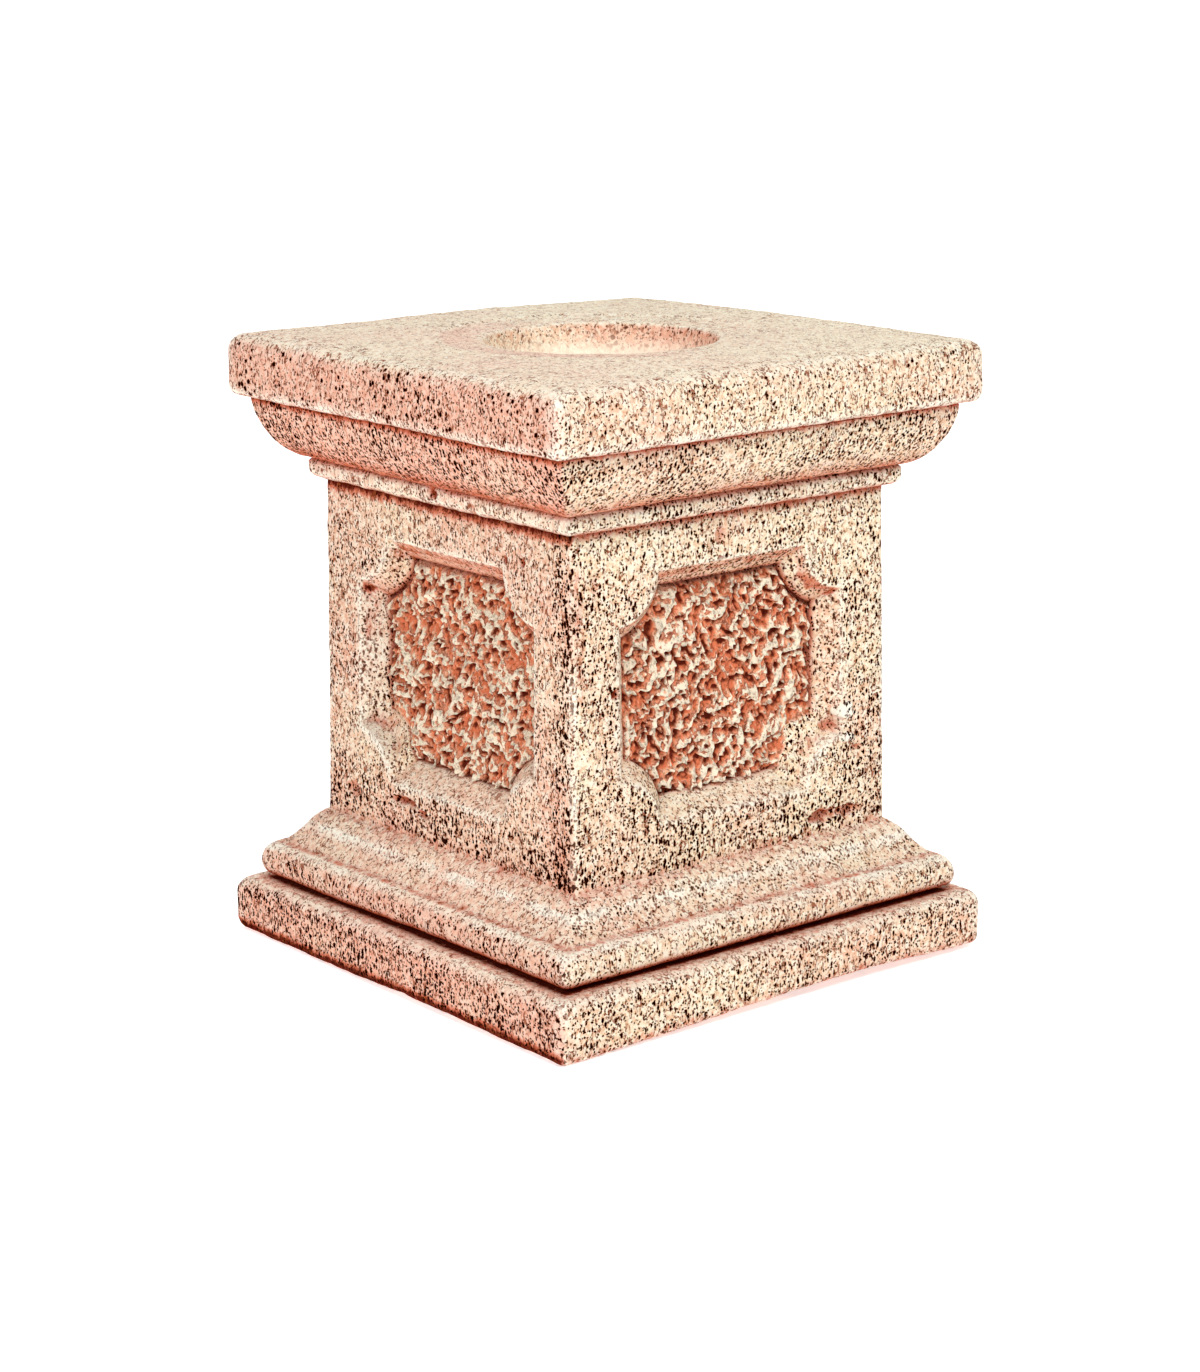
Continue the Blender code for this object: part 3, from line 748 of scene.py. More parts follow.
def shadeAndDirtOf(places, normals):
    # painted shade, with some dirt, by how near the joints between the members a point lies, also under the
    # members and on the reveals: 1 right in them, over 1 where it is darkest
    k = wearAndPaintedLight
    x, y, z = places.T
    wide, _ = widths(places)
    left = ramp(0.2, 0.8, -normals[:, 0])
    fromJoint = np.abs(z - casting["plinthHeight"] - 0.001)
    fillet = (z <= filletTop) * (z > dieTop + 0.004)
    reach = 0.0085 + 0.003 * left
    shadeAndDirt = withLeft("underFillet", left) * ramp(reach, 0.0, dieTop - z) * (z <= dieTop + 0.0004)
    shadeAndDirt += k["noseFoot"] * ramp(slopeHead + 0.001, dieFoot, z) * ramp(dieFoot + 0.008, dieFoot + 0.001, z)
    shadeAndDirt += k["lip"] * ramp(0.0018, 0.0004, np.abs(z - slopeFoot + 0.0004))
    shadeAndDirt += k["joint"] * ramp(0.0034, 0.0012, fromJoint) * ramp(torusRoot + 0.003, torusRoot + 0.0005, wide)
    shadeAndDirt += withLeft("jointHalo", left) * ramp(0.0065, 0.002, fromJoint) * (wide < plinthHalf - 0.004)
    shadeAndDirt += withLeft("underSlab", left) * ramp(ovoloTop - 0.0085, ovoloTop - 0.001, z) * (z < ovoloTop)
    shadeAndDirt += withLeft("ovoloFoot", left) * ramp(filletTop + 0.015, filletTop, z) * (z > filletTop)
    shadeAndDirt += k["filletLeft"] * left * ramp(filletTop - 0.006, filletTop, z) * fillet
    beside = dieHalf + x        # a darker strip down the front, beside the near arris
    onFrontArris = ramp(0.002, 0.004, beside) * ramp(0.016, 0.007, beside) * ramp(0.3, 0.8, -normals[:, 1])
    shadeAndDirt += k["frontArris"] * onFrontArris * ramp(0.19, 0.215, z) * (1 - ramp(0.285, 0.3, z))
    foot = ramp(0.0115, 0.004, z) * withLeft("foot", left) * (wide > plinthHalf - 0.02)
    shadeAndDirt = np.where(z < 0.02, foot, shadeAndDirt)

    # painted shade on the downward-facing upper reveals, and the painted shadow patches
    onDie = (z > dieFoot) & (z < dieTop) & (wide > dieHalf - 0.03)
    above = z - panelMiddle
    deep = dieHalfAt(z) - wide
    upperReveal = (above > panelHalfH * 0.45) & (deep > 0.0012) & (deep < panel["revealDepth"] * 0.62)
    cleanLobe = (x < -0.1) & (y > panelHalfW - panel["lobeRadius"] - 0.006)
    shadeAndDirt += k["upperReveal"] * upperReveal * onDie * ramp(0.0, -0.3, normals[:, 2]) * ~cleanLobe
    for side, px, pz, halfW, halfH, strength in shadowPatches:
        across = (x, y, -x, -y)[side]
        facing = (-y, x, y, -x)[side]
        away = np.hypot((across - px) / halfW, (z - pz) / halfH)
        deepEnough = ramp(0.0006, 0.004, dieHalfAt(z) - facing)
        shadeAndDirt += strength * ramp(1.15, 0.35, away) * deepEnough * (facing > 0.09) * onDie
    return np.clip(shadeAndDirt, 0, 1.4)


# pale lines along the members, rubbed wear and painted highlight: strength, height, reach, core and least
# half width
rubbedAndLitEdges = [
    (1.3, slopeHead - 0.0004, 0.004, 0.0014, 0.0), (0.6, slopeFoot - 0.003, 0.0036, 0.001, 0.0),
    (0.8, ovoloTop + 0.0028, 0.004, 0.0012, slabHalf - 0.006),
    (0.5, filletTop - 0.0042, 0.004, 0.0012, filletHalf - 0.003),
]


def rubbedAndLitLinesOf(places):
    x, y, z = places.T
    wide, narrow = widths(places)
    rubbedAndLit = np.zeros(len(places))
    for strength, height, reach, core, leastWide in rubbedAndLitEdges:
        rubbedAndLit += strength * ramp(reach, core, np.abs(z - height)) * (wide > leastWide)
    # the arrises of the die, and the far reveal of the left panel
    onDie = (z > dieFoot) & (z < dieTop) & (wide < dieHalf + 0.002)
    rubbedAndLit += wearAndPaintedLight["rubbedAndLitArris"] * onDie * ramp(dieHalf - 0.0045, dieHalf - 0.002, narrow)
    farReveal = ramp(panelHalfW - 0.0135, panelHalfW - 0.011, y)
    farReveal *= ramp(panelHalfW + 0.0005, panelHalfW - 0.001, y)
    farReveal *= (x < -0.1) * (np.abs(z - panelMiddle) < panelHalfH - 0.028)
    rubbedAndLit += wearAndPaintedLight["rubbedAndLitReveal"] * farReveal
    # the upright corners of plinth, torus and slab
    onMember = ((z < quirkTop) & (wide > plinthHalf - 0.01)) | ((z > ovoloTop) & (wide > slabHalf - 0.008))
    onMember |= (z > quirkTop) & (z < slopeFoot) & (wide > torusRoot)
    rubbedAndLit += wearAndPaintedLight["rubbedAndLitCorner"] * onMember * ramp(0.013, 0.003, wide - narrow)
    plain, patchy, scale = wearAndPaintedLight["rubbedAndLitPatches"]
    return np.clip(rubbedAndLit * (plain + patchy * grainAt(places, scale, 17.3)), 0, 1)


def shelterOf(places, normals, triangles):
    # how much stone stands in the way of each point within a short reach, 0 open to 1 shut in
    reach = ageing["shelterReach"]
    rays = ageing["shelterRays"]
    tree = BVHTree.FromPolygons(places.tolist(), triangles.tolist())
    aside = np.where(np.abs(normals[:, 2:3]) > 0.9, [[1.0, 0.0, 0.0]], [[0.0, 0.0, 1.0]])
    first = np.cross(normals, aside)
    first /= np.linalg.norm(first, axis=1)[:, None]
    second = np.cross(normals, first)
    origins = (places + normals * 0.0005).tolist()
    blocked = np.zeros(len(places))
    turnEach = np.arange(len(places)) * 2.399963
    for ray in range(rays):
        lean = math.sqrt((ray + 0.5) / rays)
        turn = turnEach + ray * 2.399963
        ways = (first * (np.cos(turn) * lean)[:, None] + second * (np.sin(turn) * lean)[:, None]
                + normals * math.sqrt(1 - lean * lean)).tolist()
        for index, (origin, way) in enumerate(zip(origins, ways)):
            distance = tree.ray_cast(origin, way, reach)[3]
            if distance is not None:
                blocked[index] += 1 - distance / reach
    return blocked / rays


def shadePinknessOf(places, normals):
    # painted shade as pink: the left side, turned from the key light, is painted pinker, most of all on the
    # slab, ovolo and plinth; the right, facing the key light, creamier
    k = wearAndPaintedLight
    z = places[:, 2]
    left, front = turnedTo(normals)
    up = ramp(0.3, 0.9, normals[:, 2]) * ((z < dieFoot) | (z > dieTop))
    across = ramp(0.16, -0.16, places[:, 0])
    lowDown = ramp(dieFoot + 0.04, 0.02, z)
    moulding = np.maximum(ramp(filletTop - 0.008, filletTop + 0.008, z), lowDown)
    sides = withLeft("pink", left) + k["pinkFront"] * front + withLeft("pinkMoulding", left) * moulding
    # painted pink shade on the dished ring round the well's mouth, to the left
    fromMiddle = np.hypot(places[:, 0], places[:, 1])
    dishRadius = well["radius"] + well["dishWidth"]
    ring = ramp(well["radius"] - 0.002, well["radius"] + 0.012, fromMiddle)
    ring *= ramp(dishRadius, dishRadius - 0.006, fromMiddle)
    ring *= ramp(0.03, -0.05, places[:, 0]) * ramp(bedHeight - 0.006, bedHeight - 0.003, z)
    level = k["pinkTop"] + k["pinkTopLeft"] * across + k["pinkRing"] * ring
    level += k["pinkBaseTop"] * moulding * (z < 0.2)
    return np.clip(sides * (1 - up) + up * level, 0, 1.15)


def crowdOf(places, normals):
    # how thick the pores stand: thick low on the die, by its corners and on the plinth
    k = wearAndPaintedLight
    z = places[:, 2]
    wide, narrow = widths(places)
    left, front = turnedTo(normals)
    up = ramp(0.4, 0.9, normals[:, 2])
    die = ramp(dieFoot - 0.002, dieFoot + 0.002, z) * (1 - ramp(dieTop, dieTop + 0.006, z))
    onFace = die * ramp(dieHalf - 0.008, dieHalf - 0.004, wide)
    corner = onFace * ramp(dieHalf - 0.026, dieHalf - 0.008, narrow) * ramp(0.0, 0.6, -normals[:, 0])
    corner *= 0.25 + 0.75 * ramp(0.02, -0.06, places[:, 1])
    low = onFace * ramp(dieFoot + 0.062, dieFoot + 0.012, z)
    plinth = ramp(0.038, 0.03, z)
    ovolo = ramp(filletTop, filletTop + 0.004, z) * ramp(ovoloTop, ovoloTop - 0.002, z) * left
    torus = ramp(quirkTop, quirkTop + 0.004, z) * ramp(slopeFoot, slopeFoot - 0.004, z)
    slab = ramp(ovoloTop - 0.004, ovoloTop, z)
    plain = front * (1 - low) * (1 - plinth) * (1 - torus) * (1 - 0.9 * slab)
    crowd = k["pores"] + k["poresLow"] * low + k["poresFront"] * plain + k["poresCorner"] * corner
    crowd += withLeft("poresPlinth", left) * plinth + k["poresOvolo"] * ovolo
    crowd += withLeft("poresTorus", left) * torus + k["poresTop"] * up
    patchy, scale = k["poresPatches"]
    return np.clip(crowd + patchy * grainAt(places, scale, 61.3), 0, 1)


def coarsenessOf(places, normals):
    # where the stone has big open holes: the slab's left side, and low on the die's
    z = places[:, 2]
    left, _ = turnedTo(normals)
    slab = ramp(ovoloTop, ovoloTop + 0.004, z) * withLeft("coarseSlab", left)
    low = ramp(dieFoot + 0.045, dieFoot + 0.01, z) * ramp(dieFoot - 0.002, dieFoot + 0.004, z)
    up = ramp(0.4, 0.9, normals[:, 2])
    bare = slab + low * withLeft("coarseFoot", left)
    patchy, scale = wearAndPaintedLight["coarsePatches"]
    return np.clip(bare * (1 - 0.8 * up) + patchy * grainAt(places, scale, 5.1), 0, 1)


def addObject(name, data):
    added = bpy.data.objects.new(name, data)
    bpy.context.scene.collection.objects.link(added)
    return added


def cornerTable(items, width):
    # the point numbers of a mesh's edges or triangles
    numbers = np.zeros(len(items) * width, dtype=np.int32)
    items.foreach_get("vertices", numbers)
    return numbers.reshape(-1, width)


def castPedestal():
    base = stackRings(fillRows(baseRows(), casting["rowStep"]))
    cap = stackRings(fillRows(capRows(), casting["rowStep"]))
    addDie()
    addTop(cap[-1])
    foot = max(spots[i][0] for i in base[0]) - casting["underStep"] * 0.45
    closeOff(base[0], 0.0, casting["underStep"], 2.2, calmOf["underside"],
             lambda x, y: max(abs(x), abs(y)) < foot, flip=True)
    print("stone surface laid out: %d points" % len(spots))

    mesh = bpy.data.meshes.new("pedestalStone")
    mesh.from_pydata(spots, [], skins)
    mesh.validate(verbose=False)
    mesh.update()
    mesh.calc_loop_triangles()
    triangles = cornerTable(mesh.loop_triangles, 3)
    pairs = cornerTable(mesh.edges, 2)
    places = np.array(spots)
    counts = np.maximum(1, np.bincount(pairs.ravel(), minlength=len(places)).astype(float))
    calm, lump = np.array(calmness), np.array(lumps)

    laid = places.copy()
    places, normals = ageStone(places, triangles, pairs, counts, calm, lump)
    places, soilAndShade = knockMarks(places, normals, np.zeros(len(places)))
    places = np.clip(places, np.array(cadBox[0]), np.array(cadBox[1]))
    places[:, 2] = np.maximum(places[:, 2], 0.0)
    mesh.vertices.foreach_set("co", places.ravel())
    mesh.update()
    print("edges worn and marks knocked in, %d triangles" % len(triangles))

    normals = pointNormals(places, triangles)
    near = standOut(places, normals, pairs, counts, ageing["nearRounds"])
    wide = standOut(places, normals, pairs, counts, ageing["wideRounds"])
    ground = lump >= 0
    shelter = shelterOf(places, normals, triangles)
    shelter = neighbourSmooth(np.repeat(shelter[:, None], 3, axis=1), pairs, counts, 1)[:, 0]
    hollow = ramp(0.0002, 0.0016, -near) * 0.6 + ramp(0.001, 0.005, -wide) * 0.4
    proud = ramp(-0.0002, 0.0005, near)
    onReveal = (laid[:, 2] > dieFoot) & (laid[:, 2] < dieTop)
    # shelter, recess and underside feed the painted shade, upward the painted highlight on the tops
    layers = {
        "rubbedAndLit": np.where(ground, 0.0, np.maximum(ramp(0.0002, 0.0014, near), rubbedAndLitLinesOf(laid))),
        "shelter": np.clip(shelter, 0, 1),
        "shadeAndDirt": shadeAndDirtOf(laid, normals),
        "recess": np.where(ground, ramp(0.0001, 0.001, -near), np.clip(hollow, 0, 1)),
        "underside": ramp(0.15, 0.9, -normals[:, 2]),
        "upward": ramp(0.55, 0.95, normals[:, 2]) * np.where(onReveal, 0.9, 1.0),
        "lumpHeight": np.clip(0.8 * lump + 0.22 * proud - 0.03, 0, 1),
        "roughGround": ground,
        "calm": calm,
        "soilAndShade": np.clip(soilAndShade, -1, 1.3),
        "shadePinkness": shadePinknessOf(places, normals),
        "crowd": crowdOf(places, normals),
        "coarse": coarsenessOf(places, normals),
    }
    for name, values in layers.items():
        attribute = mesh.attributes.new(name, "FLOAT", "POINT")
        attribute.data.foreach_set("value", np.ascontiguousarray(values, dtype=np.float32))
    mesh.shade_smooth()
    mesh.set_sharp_from_angle(angle=math.radians(70))
    print("layers of colour and dirt laid: %d" % len(layers))
    return addObject("pedestalStone", mesh)


def paint(red, green, blue):
    # a colour, 0 to 255, turned into the shader's own units
    def linear(value):
        value /= 255
        return value / 12.92 if value <= 0.04045 else ((value + 0.055) / 1.055) ** 2.4
    return (linear(red), linear(green), linear(blue), 1.0)


# colours of the stone and of its painted shade and highlights, and how large and strong its grain is; scales
# count per metre
stoneFinish = {
    "pink": paint(242, 190, 166), "cream": paint(248, 234, 204), "chalkAndHighlight": paint(255, 250, 234),
    "salmon": paint(222, 138, 108), "rust": paint(222, 160, 108), "worm": paint(152, 74, 38),
    "pit": paint(80, 24, 9), "pitDeep": paint(24, 4, 1),
    "soilAndShade": paint(204, 92, 56), "deepSoilAndShade": paint(88, 16, 6),
    "groundLow": paint(228, 122, 82), "groundMid": paint(250, 186, 148), "groundCrest": paint(255, 241, 216),
    "crestShadow": paint(150, 36, 14),
    "nudgeScale": 700.0, "nudgeReach": 0.002,
    "slitSqueeze": (1.0, 1.0, 0.48), "slitLean": (0.35, -0.35, 0.0),
    "crowdScale": 80.0, "crowdSpread": 0.36, "openScale": 45.0, "coarseShare": 0.32,
    "poreScale": 430.0, "slitScale": 330.0, "holeScale": 190.0, "wormScale": 230.0, "wormGapScale": 150.0,
    "grainScale": 640.0, "mottleScale": 260.0, "cloudScale": 14.0, "cloudTint": 1.6,
    "upwardHighlight": 0.35, "brinkShare": 0.75,
    "recessShade": 0.18, "undersideShade": 0.3, "mottleInShade": 0.35, "markDarkShare": 0.85,
    "fringeScale": 210.0, "fringeShare": 1.5,
    "scaleScale": 150.0, "scaleLumps": 0.42, "grainLumps": 0.4, "lineScale": 190.0,
    "bedRecess": 0.5, "groundShare": 0.96,
    "pitBump": -0.8, "wormBump": -0.4, "mottleBump": 0.9, "grainBump": 0.4, "scaleBump": 0.5,
    "bump": 1.0, "bumpDepth": 0.0013,
}

# where each layer begins to show and where it is full, then its share at either end
fades = {
    "pores": (0.15, 0.9, 0.18, 0.4), "slits": (0.25, 0.9, 0.16, 0.42), "holes": (0.5, 0.95, 0.02, 0.34),
    "pit": (0.0, 0.035), "pitHeart": (0.04, 0.11), "brink": (-0.1, 0.02),
    "pitsByCalm": (0.25, 1.0, 1.0, 0.05), "pitsByCrowd": (0.05, 0.45, 0.45, 1.0),
    "pitsOnGround": (0.0, 1.0, 1.0, 0.2), "pitsOnPaleEdges": (0.2, 1.0, 1.0, 0.45),
    "worm": (0.038, 0.0114), "wormGap": (0.4, 0.56),
    "wormsOnGround": (0.0, 1.0, 1.0, 0.3), "wormsOnPaleEdges": (0.2, 1.0, 0.9, 0.5),
    "mottleDark": (0.48, 0.36, 0.0, 0.45), "grainDark": (0.46, 0.34, 0.0, 0.45),
    "crowdDark": (0.62, 0.95, 0.0, 0.35), "calmChalk": (0.5, 1.0, 0.0, 0.7),
    "fleck": (0.48, 0.6, 0.0, 0.6), "fleckOnPink": (0.3, 1.0, 1.0, 0.45),
    "rubAndHighlightByGrain": (0.3, 0.6, 0.4, 1.0), "keenEdge": (0.5, 1.0, 0.0, 0.6),
    "paintedShade": (0.1, 0.5, 0.0, 0.75), "deepPaintedShade": (0.42, 0.8, 0.0, 0.95),
    "shadeByCalm": (0.35, 1.0, 1.0, 0.3), "shadeByUpward": (0.3, 1.0, 1.0, 0.55),
    "markDark": (0.6, 1.1, 0.0, 0.7), "markPale": (-0.2, -0.8, 0.0, 0.9),
    "shadeAndDirtBegins": (0.02, 0.25), "shadeAndDirt": (0.15, 0.85, 0.0, 0.85), "deepShadeAndDirt": (0.75, 1.15, 0.0, 0.95),
    "bed": (-0.05, 0.22), "crest": (0.24, 0.36), "bedShade": (0.38, 0.74, 0.0, 0.97), "scale": (0.2, 1.6),
    "lineFoot": (0.08, 0.2), "lineHead": (0.31, 0.25), "lineGap": (0.4, 0.54, 0.0, 0.75),
    "bumpByCalm": (0.3, 1.0, 1.0, 0.25),
}


def feed(tree, socket, value):
    # a number or a colour stands on the socket itself, anything else is joined to it
    if isinstance(value, (int, float, tuple)):
        socket.default_value = value
    else:
        tree.links.new(value, socket)


def mathNode(tree, operation, first, second, clamp=False):
    node = tree.nodes.new("ShaderNodeMath")
    node.operation = operation
    node.use_clamp = clamp
    feed(tree, node.inputs[0], first)
    feed(tree, node.inputs[1], second)
    return node.outputs[0]


def between(tree, value, low, top, outLow=0.0, outTop=1.0):
    node = tree.nodes.new("ShaderNodeMapRange")
    node.interpolation_type = "SMOOTHSTEP"
    tree.links.new(value, node.inputs["Value"])
    for name, amount in (("From Min", low), ("From Max", top), ("To Min", outLow), ("To Max", outTop)):
        node.inputs[name].default_value = amount
    return node.outputs["Result"]


def mixNode(tree, share, first, second):
    node = tree.nodes.new("ShaderNodeMix")
    node.data_type = "RGBA"
    for socket, value in zip([s for s in node.inputs if s.enabled], (share, first, second)):
        feed(tree, socket, value)
    return [s for s in node.outputs if s.enabled][0]


def readNode(tree, name):
    node = tree.nodes.new("ShaderNodeAttribute")
    node.attribute_name = name
    return node.outputs["Fac"]


def textureNode(tree, kind, where, settings):
    node = tree.nodes.new("ShaderNodeTex" + kind)
    tree.links.new(where, node.inputs["Vector"])
    for name, value in settings.items():
        node.inputs[name].default_value = value
    return node


def mattMaterial(name):
    # a new material without shine, its node tree and its shader
    material = bpy.data.materials.new(name)
    material.use_nodes = True
    shader = material.node_tree.nodes["Principled BSDF"]
    shader.inputs["Roughness"].default_value = 1.0
    shader.inputs["Specular IOR Level"].default_value = 0.0
    return material, material.node_tree, shader


def castStone():
    f = stoneFinish
    material, tree, shader = mattMaterial("castStone")
    place = tree.nodes.new("ShaderNodeTexCoord").outputs["Object"]
    plus, minus, times, greater = (partial(mathNode, tree, name) for name in
                                   ("ADD", "SUBTRACT", "MULTIPLY", "MAXIMUM"))
    mix = partial(mixNode, tree)
    read = partial(readNode, tree)
    texture = partial(textureNode, tree)

    def fade(value, name):
        return between(tree, value, *fades[name])

    def grains(where, scale, detail=2.0, roughness=0.55, distortion=0.0):
        settings = {"Scale": scale, "Detail": detail, "Roughness": roughness, "Distortion": distortion}
        return texture("Noise", where, settings).outputs["Fac"]

    def cells(where, scale):
        return texture("Voronoi", where, {"Scale": scale, "Randomness": 1.0}).outputs["Distance"]

    def stir(value, noisy, amount, clamp=False):
        # the value raised and lowered by noise
        return plus(value, times(minus(noisy, 0.5), amount), clamp)

    # places nudged by noise, so no pore is round; and a copy squeezed upright, for the slits
    nudge = texture("Noise", place, {"Scale": f["nudgeScale"], "Detail": 2.0})
    shift = tree.nodes.new("ShaderNodeVectorMath")
    shift.operation = "MULTIPLY_ADD"
    for socket, value in zip(shift.inputs, (nudge.outputs["Color"], (f["nudgeReach"],) * 3, place)):
        feed(tree, socket, value)
    nudged = shift.outputs[0]
    squeeze = tree.nodes.new("ShaderNodeMapping")
    squeeze.vector_type = "POINT"
    squeeze.inputs["Scale"].default_value = f["slitSqueeze"]
    squeeze.inputs["Rotation"].default_value = f["slitLean"]
    tree.links.new(nudged, squeeze.inputs["Vector"])
    upright = squeeze.outputs[0]

    calm, rubbedAndLit, recess, lump = read("calm"), read("rubbedAndLit"), read("recess"), read("lumpHeight")
    ground, soilAndShade, shadePinkness, crowd = read("roughGround"), read("soilAndShade"), read("shadePinkness"), read("crowd")
    upward, shelter, shadeAndDirt = read("upward"), read("shelter"), read("shadeAndDirt")

    # pores: how far inside one a point is, above nought inside
    crowded = stir(crowd, grains(place, f["crowdScale"]), f["crowdSpread"])
    openness = plus(times(read("coarse"), f["coarseShare"]), grains(place, f["openScale"]))
    pores = minus(fade(crowded, "pores"), cells(nudged, f["poreScale"]))
    slits = minus(fade(crowded, "slits"), cells(upright, f["slitScale"]))
    holes = minus(fade(openness, "holes"), cells(nudged, f["holeScale"]))
    deepest = greater(greater(pores, slits), holes)
    keepPits = fade(calm, "pitsByCalm")
    pitted, pitHeart, brink = (times(fade(deepest, name), keepPits) for name in ("pit", "pitHeart", "brink"))

    # worm tracks: short dark threads, mostly upright
    thread = minus(grains(upright, f["wormScale"], 1.0, 0.5, 0.4), 0.5)
    thread = fade(mathNode(tree, "ABSOLUTE", thread, 0.5), "worm")
    threads = times(times(thread, fade(grains(place, f["wormGapScale"]), "wormGap")), keepPits)

    # body colour: the shaded side painted pinker, the tops and the pale edges painted lighter
    cloud = grains(place, f["cloudScale"], 3.0)
    mottle = grains(place, f["mottleScale"], 3.0, 0.65)
    grain = grains(place, f["grainScale"], 2.0, 0.6)
    tint = stir(shadePinkness, cloud, f["cloudTint"], True)
    body = mix(tint, f["cream"], f["pink"])
    low = mix(tint, f["rust"], f["salmon"])
    rubAndHighlightShare = times(rubbedAndLit, fade(grain, "rubAndHighlightByGrain"))
    for share, colour in (
            (fade(mottle, "mottleDark"), low),
            (times(fade(mottle, "fleck"), fade(shadePinkness, "fleckOnPink")), f["chalkAndHighlight"]),
            (fade(grain, "grainDark"), low),
            # the tops painted lighter: painted highlight from above
            (times(upward, f["upwardHighlight"]), f["chalkAndHighlight"]),
            (rubAndHighlightShare, f["chalkAndHighlight"]),
            (fade(calm, "calmChalk"), f["chalkAndHighlight"]),
            (times(brink, f["brinkShare"]), low)):
        body = mix(share, body, colour)

    # painted shade where the stone is sheltered, in hollows and on undersides, and along the joints; dirt
    # and painted shade in the marks
    closed = plus(shelter, times(recess, f["recessShade"]))
    closed = plus(closed, times(read("underside"), f["undersideShade"]))
    closed = stir(closed, mottle, f["mottleInShade"])
    closed = times(times(closed, fade(calm, "shadeByCalm")), fade(upward, "shadeByUpward"))
    ragged = stir(shadeAndDirt, grains(upright, f["fringeScale"], 3.0, 0.7), f["fringeShare"])
    ragged = times(ragged, fade(shadeAndDirt, "shadeAndDirtBegins"))
    for share, colour in (
            (fade(closed, "paintedShade"), f["soilAndShade"]),
            (fade(closed, "deepPaintedShade"), f["deepSoilAndShade"]),
            # pale edges, rubbed wear and painted highlight
            (fade(rubAndHighlightShare, "keenEdge"), f["chalkAndHighlight"]),
            (times(soilAndShade, f["markDarkShare"], True), f["soilAndShade"]),
            (fade(soilAndShade, "markDark"), f["deepSoilAndShade"]),
            (fade(soilAndShade, "markPale"), f["chalkAndHighlight"]),
            (fade(ragged, "shadeAndDirt"), f["soilAndShade"]),
            (fade(ragged, "deepShadeAndDirt"), f["deepSoilAndShade"])):
        body = mix(share, body, colour)

    # the rough ground: red in its beds, a painted shadow line under each crest, painted shade where it is
    # sheltered, and pale crests
    ridged = texture("Noise", nudged, {"Scale": f["scaleScale"], "Detail": 2.0})
    ridged.noise_type = "RIDGED_MULTIFRACTAL"
    scales = fade(ridged.outputs["Fac"], "scale")
    bedLump = stir(stir(lump, scales, f["scaleLumps"]), grain, f["grainLumps"])
    shadowUnderCrest = times(fade(bedLump, "lineFoot"), fade(bedLump, "lineHead"))
    shadowUnderCrest = times(shadowUnderCrest, fade(grains(place, f["lineScale"]), "lineGap"))
    bed = mix(fade(bedLump, "bed"), f["groundLow"], f["groundMid"])
    bed = mix(shadowUnderCrest, bed, f["crestShadow"])
    bed = mix(fade(bedLump, "crest"), bed, f["groundCrest"])
    bed = mix(fade(plus(shelter, times(recess, f["bedRecess"])), "bedShade"), bed, f["deepSoilAndShade"])
    body = mix(times(ground, f["groundShare"]), body, bed)

    # threads and pits over all of it
    pitShare = times(times(pitted, fade(ground, "pitsOnGround")), fade(crowd, "pitsByCrowd"))
    pitShare = times(pitShare, fade(rubbedAndLit, "pitsOnPaleEdges"))
    threadShare = times(times(threads, fade(rubbedAndLit, "wormsOnPaleEdges")), fade(ground, "wormsOnGround"))
    body = mix(fade(crowd, "crowdDark"), body, low)
    colour = mix(threadShare, body, f["worm"])
    colour = mix(pitShare, colour, f["pit"])
    colour = mix(times(pitHeart, pitShare), colour, f["pitDeep"])
    tree.links.new(colour, shader.inputs["Base Color"])

    height = plus(times(pitted, f["pitBump"]), times(threads, f["wormBump"]))
    height = plus(height, times(mottle, f["mottleBump"]))
    height = plus(height, times(grain, f["grainBump"]))
    height = plus(height, times(ground, times(scales, f["scaleBump"])))
    height = times(height, fade(calm, "bumpByCalm"))
    bump = tree.nodes.new("ShaderNodeBump")
    bump.inputs["Strength"].default_value = f["bump"]
    bump.inputs["Distance"].default_value = f["bumpDepth"]
    tree.links.new(height, bump.inputs["Height"])
    tree.links.new(bump.outputs["Normal"], shader.inputs["Normal"])
    return material


pedestalStone = castPedestal()
pedestalStone.data.materials.append(castStone())
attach(pedestalStone, "root")
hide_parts("pedestal")
print("stone finish on")


# studio: white sweep, soft light from above right, a weaker one from the left
studio = {
    "sweepNear": 12.0, "sweepFar": 2.4, "sweepRound": 0.9, "sweepHeight": 3.2, "sweepWidth": 4.5,
    "sweepSteps": 16,
    "white": paint(250, 250, 250), "floorGlow": 0.58, "backGlow": 0.85, "glowHeight": 0.25,
    "worldStrength": 0.24,
    "keyPower": 43.5, "keySize": 0.9, "keyPlace": (-0.45, -1.9, 2.5),
    "fillPower": 22.2, "fillSize": 1.4, "fillPlace": (-2.4, -0.7, 1.5),
    "topPower": 8.0, "topSize": 1.6, "topPlace": (0.2, 0.3, 2.6),
}

# where the picture was taken from: place in metres, and look angles in degrees
shot = {
    "place": (-1.26658, -1.55889, 0.67341),
    "azimuth": 39.035, "pitch": 13.996, "roll": -0.36,
    "lens": 82.87, "filmSize": 36.0,
}


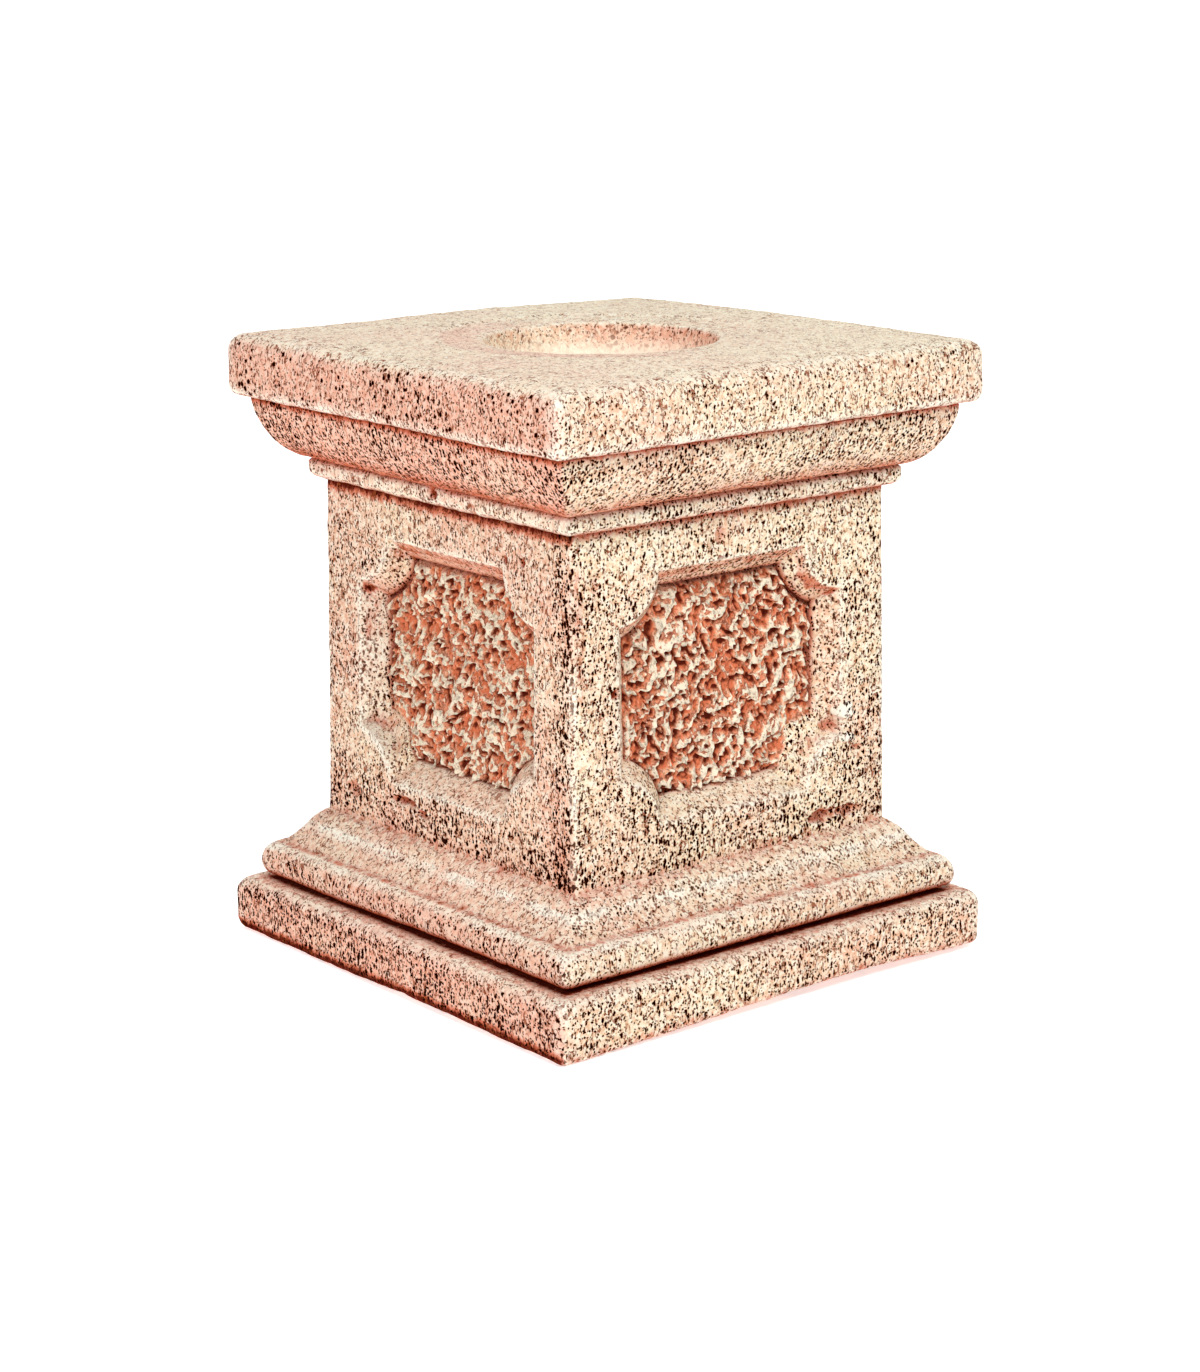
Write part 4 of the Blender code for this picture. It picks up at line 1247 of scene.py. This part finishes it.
def sweepBackdrop():
    s = studio
    azimuth = math.radians(shot["azimuth"])
    profile = [(-s["sweepNear"], 0.0)]
    for step in range(s["sweepSteps"] + 1):
        angle = math.radians(-90 + 90 * step / s["sweepSteps"])
        profile.append((s["sweepFar"] + s["sweepRound"] * math.cos(angle),
                        s["sweepRound"] + s["sweepRound"] * math.sin(angle)))
    profile.append((s["sweepFar"] + s["sweepRound"], s["sweepHeight"]))
    points = []
    for away, up in profile:
        half = s["sweepWidth"] if away > 0 else s["sweepNear"]
        for side in (-half, half):
            points.append((away * math.sin(azimuth) + side * math.cos(azimuth),
                           away * math.cos(azimuth) - side * math.sin(azimuth), up))
    faces = [(2 * i, 2 * i + 1, 2 * i + 3, 2 * i + 2) for i in range(len(profile) - 1)]
    mesh = bpy.data.meshes.new("studioSweep")
    mesh.from_pydata(points, [], faces)
    mesh.shade_smooth()
    material, tree, shader = mattMaterial("studioWhite")
    shader.inputs["Base Color"].default_value = s["white"]
    shader.inputs["Emission Color"].default_value = s["white"]
    height = tree.nodes.new("ShaderNodeSeparateXYZ")
    tree.links.new(tree.nodes.new("ShaderNodeTexCoord").outputs["Object"], height.inputs[0])
    glow = between(tree, height.outputs["Z"], 0.0, s["glowHeight"], s["floorGlow"], s["backGlow"])
    tree.links.new(glow, shader.inputs["Emission Strength"])
    mesh.materials.append(material)
    return addObject("studioSweep", mesh)


def softLight(name, power, size, place, target=(0.0, 0.0, 0.2)):
    data = bpy.data.lights.new(name, "AREA")
    data.energy = power
    data.shape = "SQUARE"
    data.size = size
    lamp = addObject(name, data)
    lamp.location = place
    lamp.rotation_euler = (Vector(place) - Vector(target)).to_track_quat("Z", "Y").to_euler()


def setCamera():
    azimuth, pitch, roll = (math.radians(shot[name]) for name in ("azimuth", "pitch", "roll"))
    ahead = math.cos(pitch)
    look = Vector((math.sin(azimuth) * ahead, math.cos(azimuth) * ahead, -math.sin(pitch)))
    right = Vector((math.cos(azimuth), -math.sin(azimuth), 0.0))
    up = right.cross(look)
    rolledRight = right * math.cos(roll) + up * math.sin(roll)
    rolledUp = up * math.cos(roll) - right * math.sin(roll)
    camera = addObject("photoCamera", bpy.data.cameras.new("photoCamera"))
    camera.data.lens = shot["lens"]
    camera.data.sensor_width = shot["filmSize"]
    turn = Matrix((rolledRight, rolledUp, -look)).transposed().to_4x4()
    camera.matrix_world = Matrix.Translation(shot["place"]) @ turn
    bpy.context.scene.camera = camera


sweepBackdrop()
for light in ("key", "fill", "top"):
    softLight(light + "Light", studio[light + "Power"], studio[light + "Size"], studio[light + "Place"])
world = bpy.data.worlds.new("studioAir")
world.use_nodes = True
world.node_tree.nodes["Background"].inputs["Color"].default_value = (1.0, 1.0, 1.0, 1.0)
world.node_tree.nodes["Background"].inputs["Strength"].default_value = studio["worldStrength"]
bpy.context.scene.world = world
bpy.context.scene.view_settings.view_transform = "Standard"
setCamera()
print("studio set")
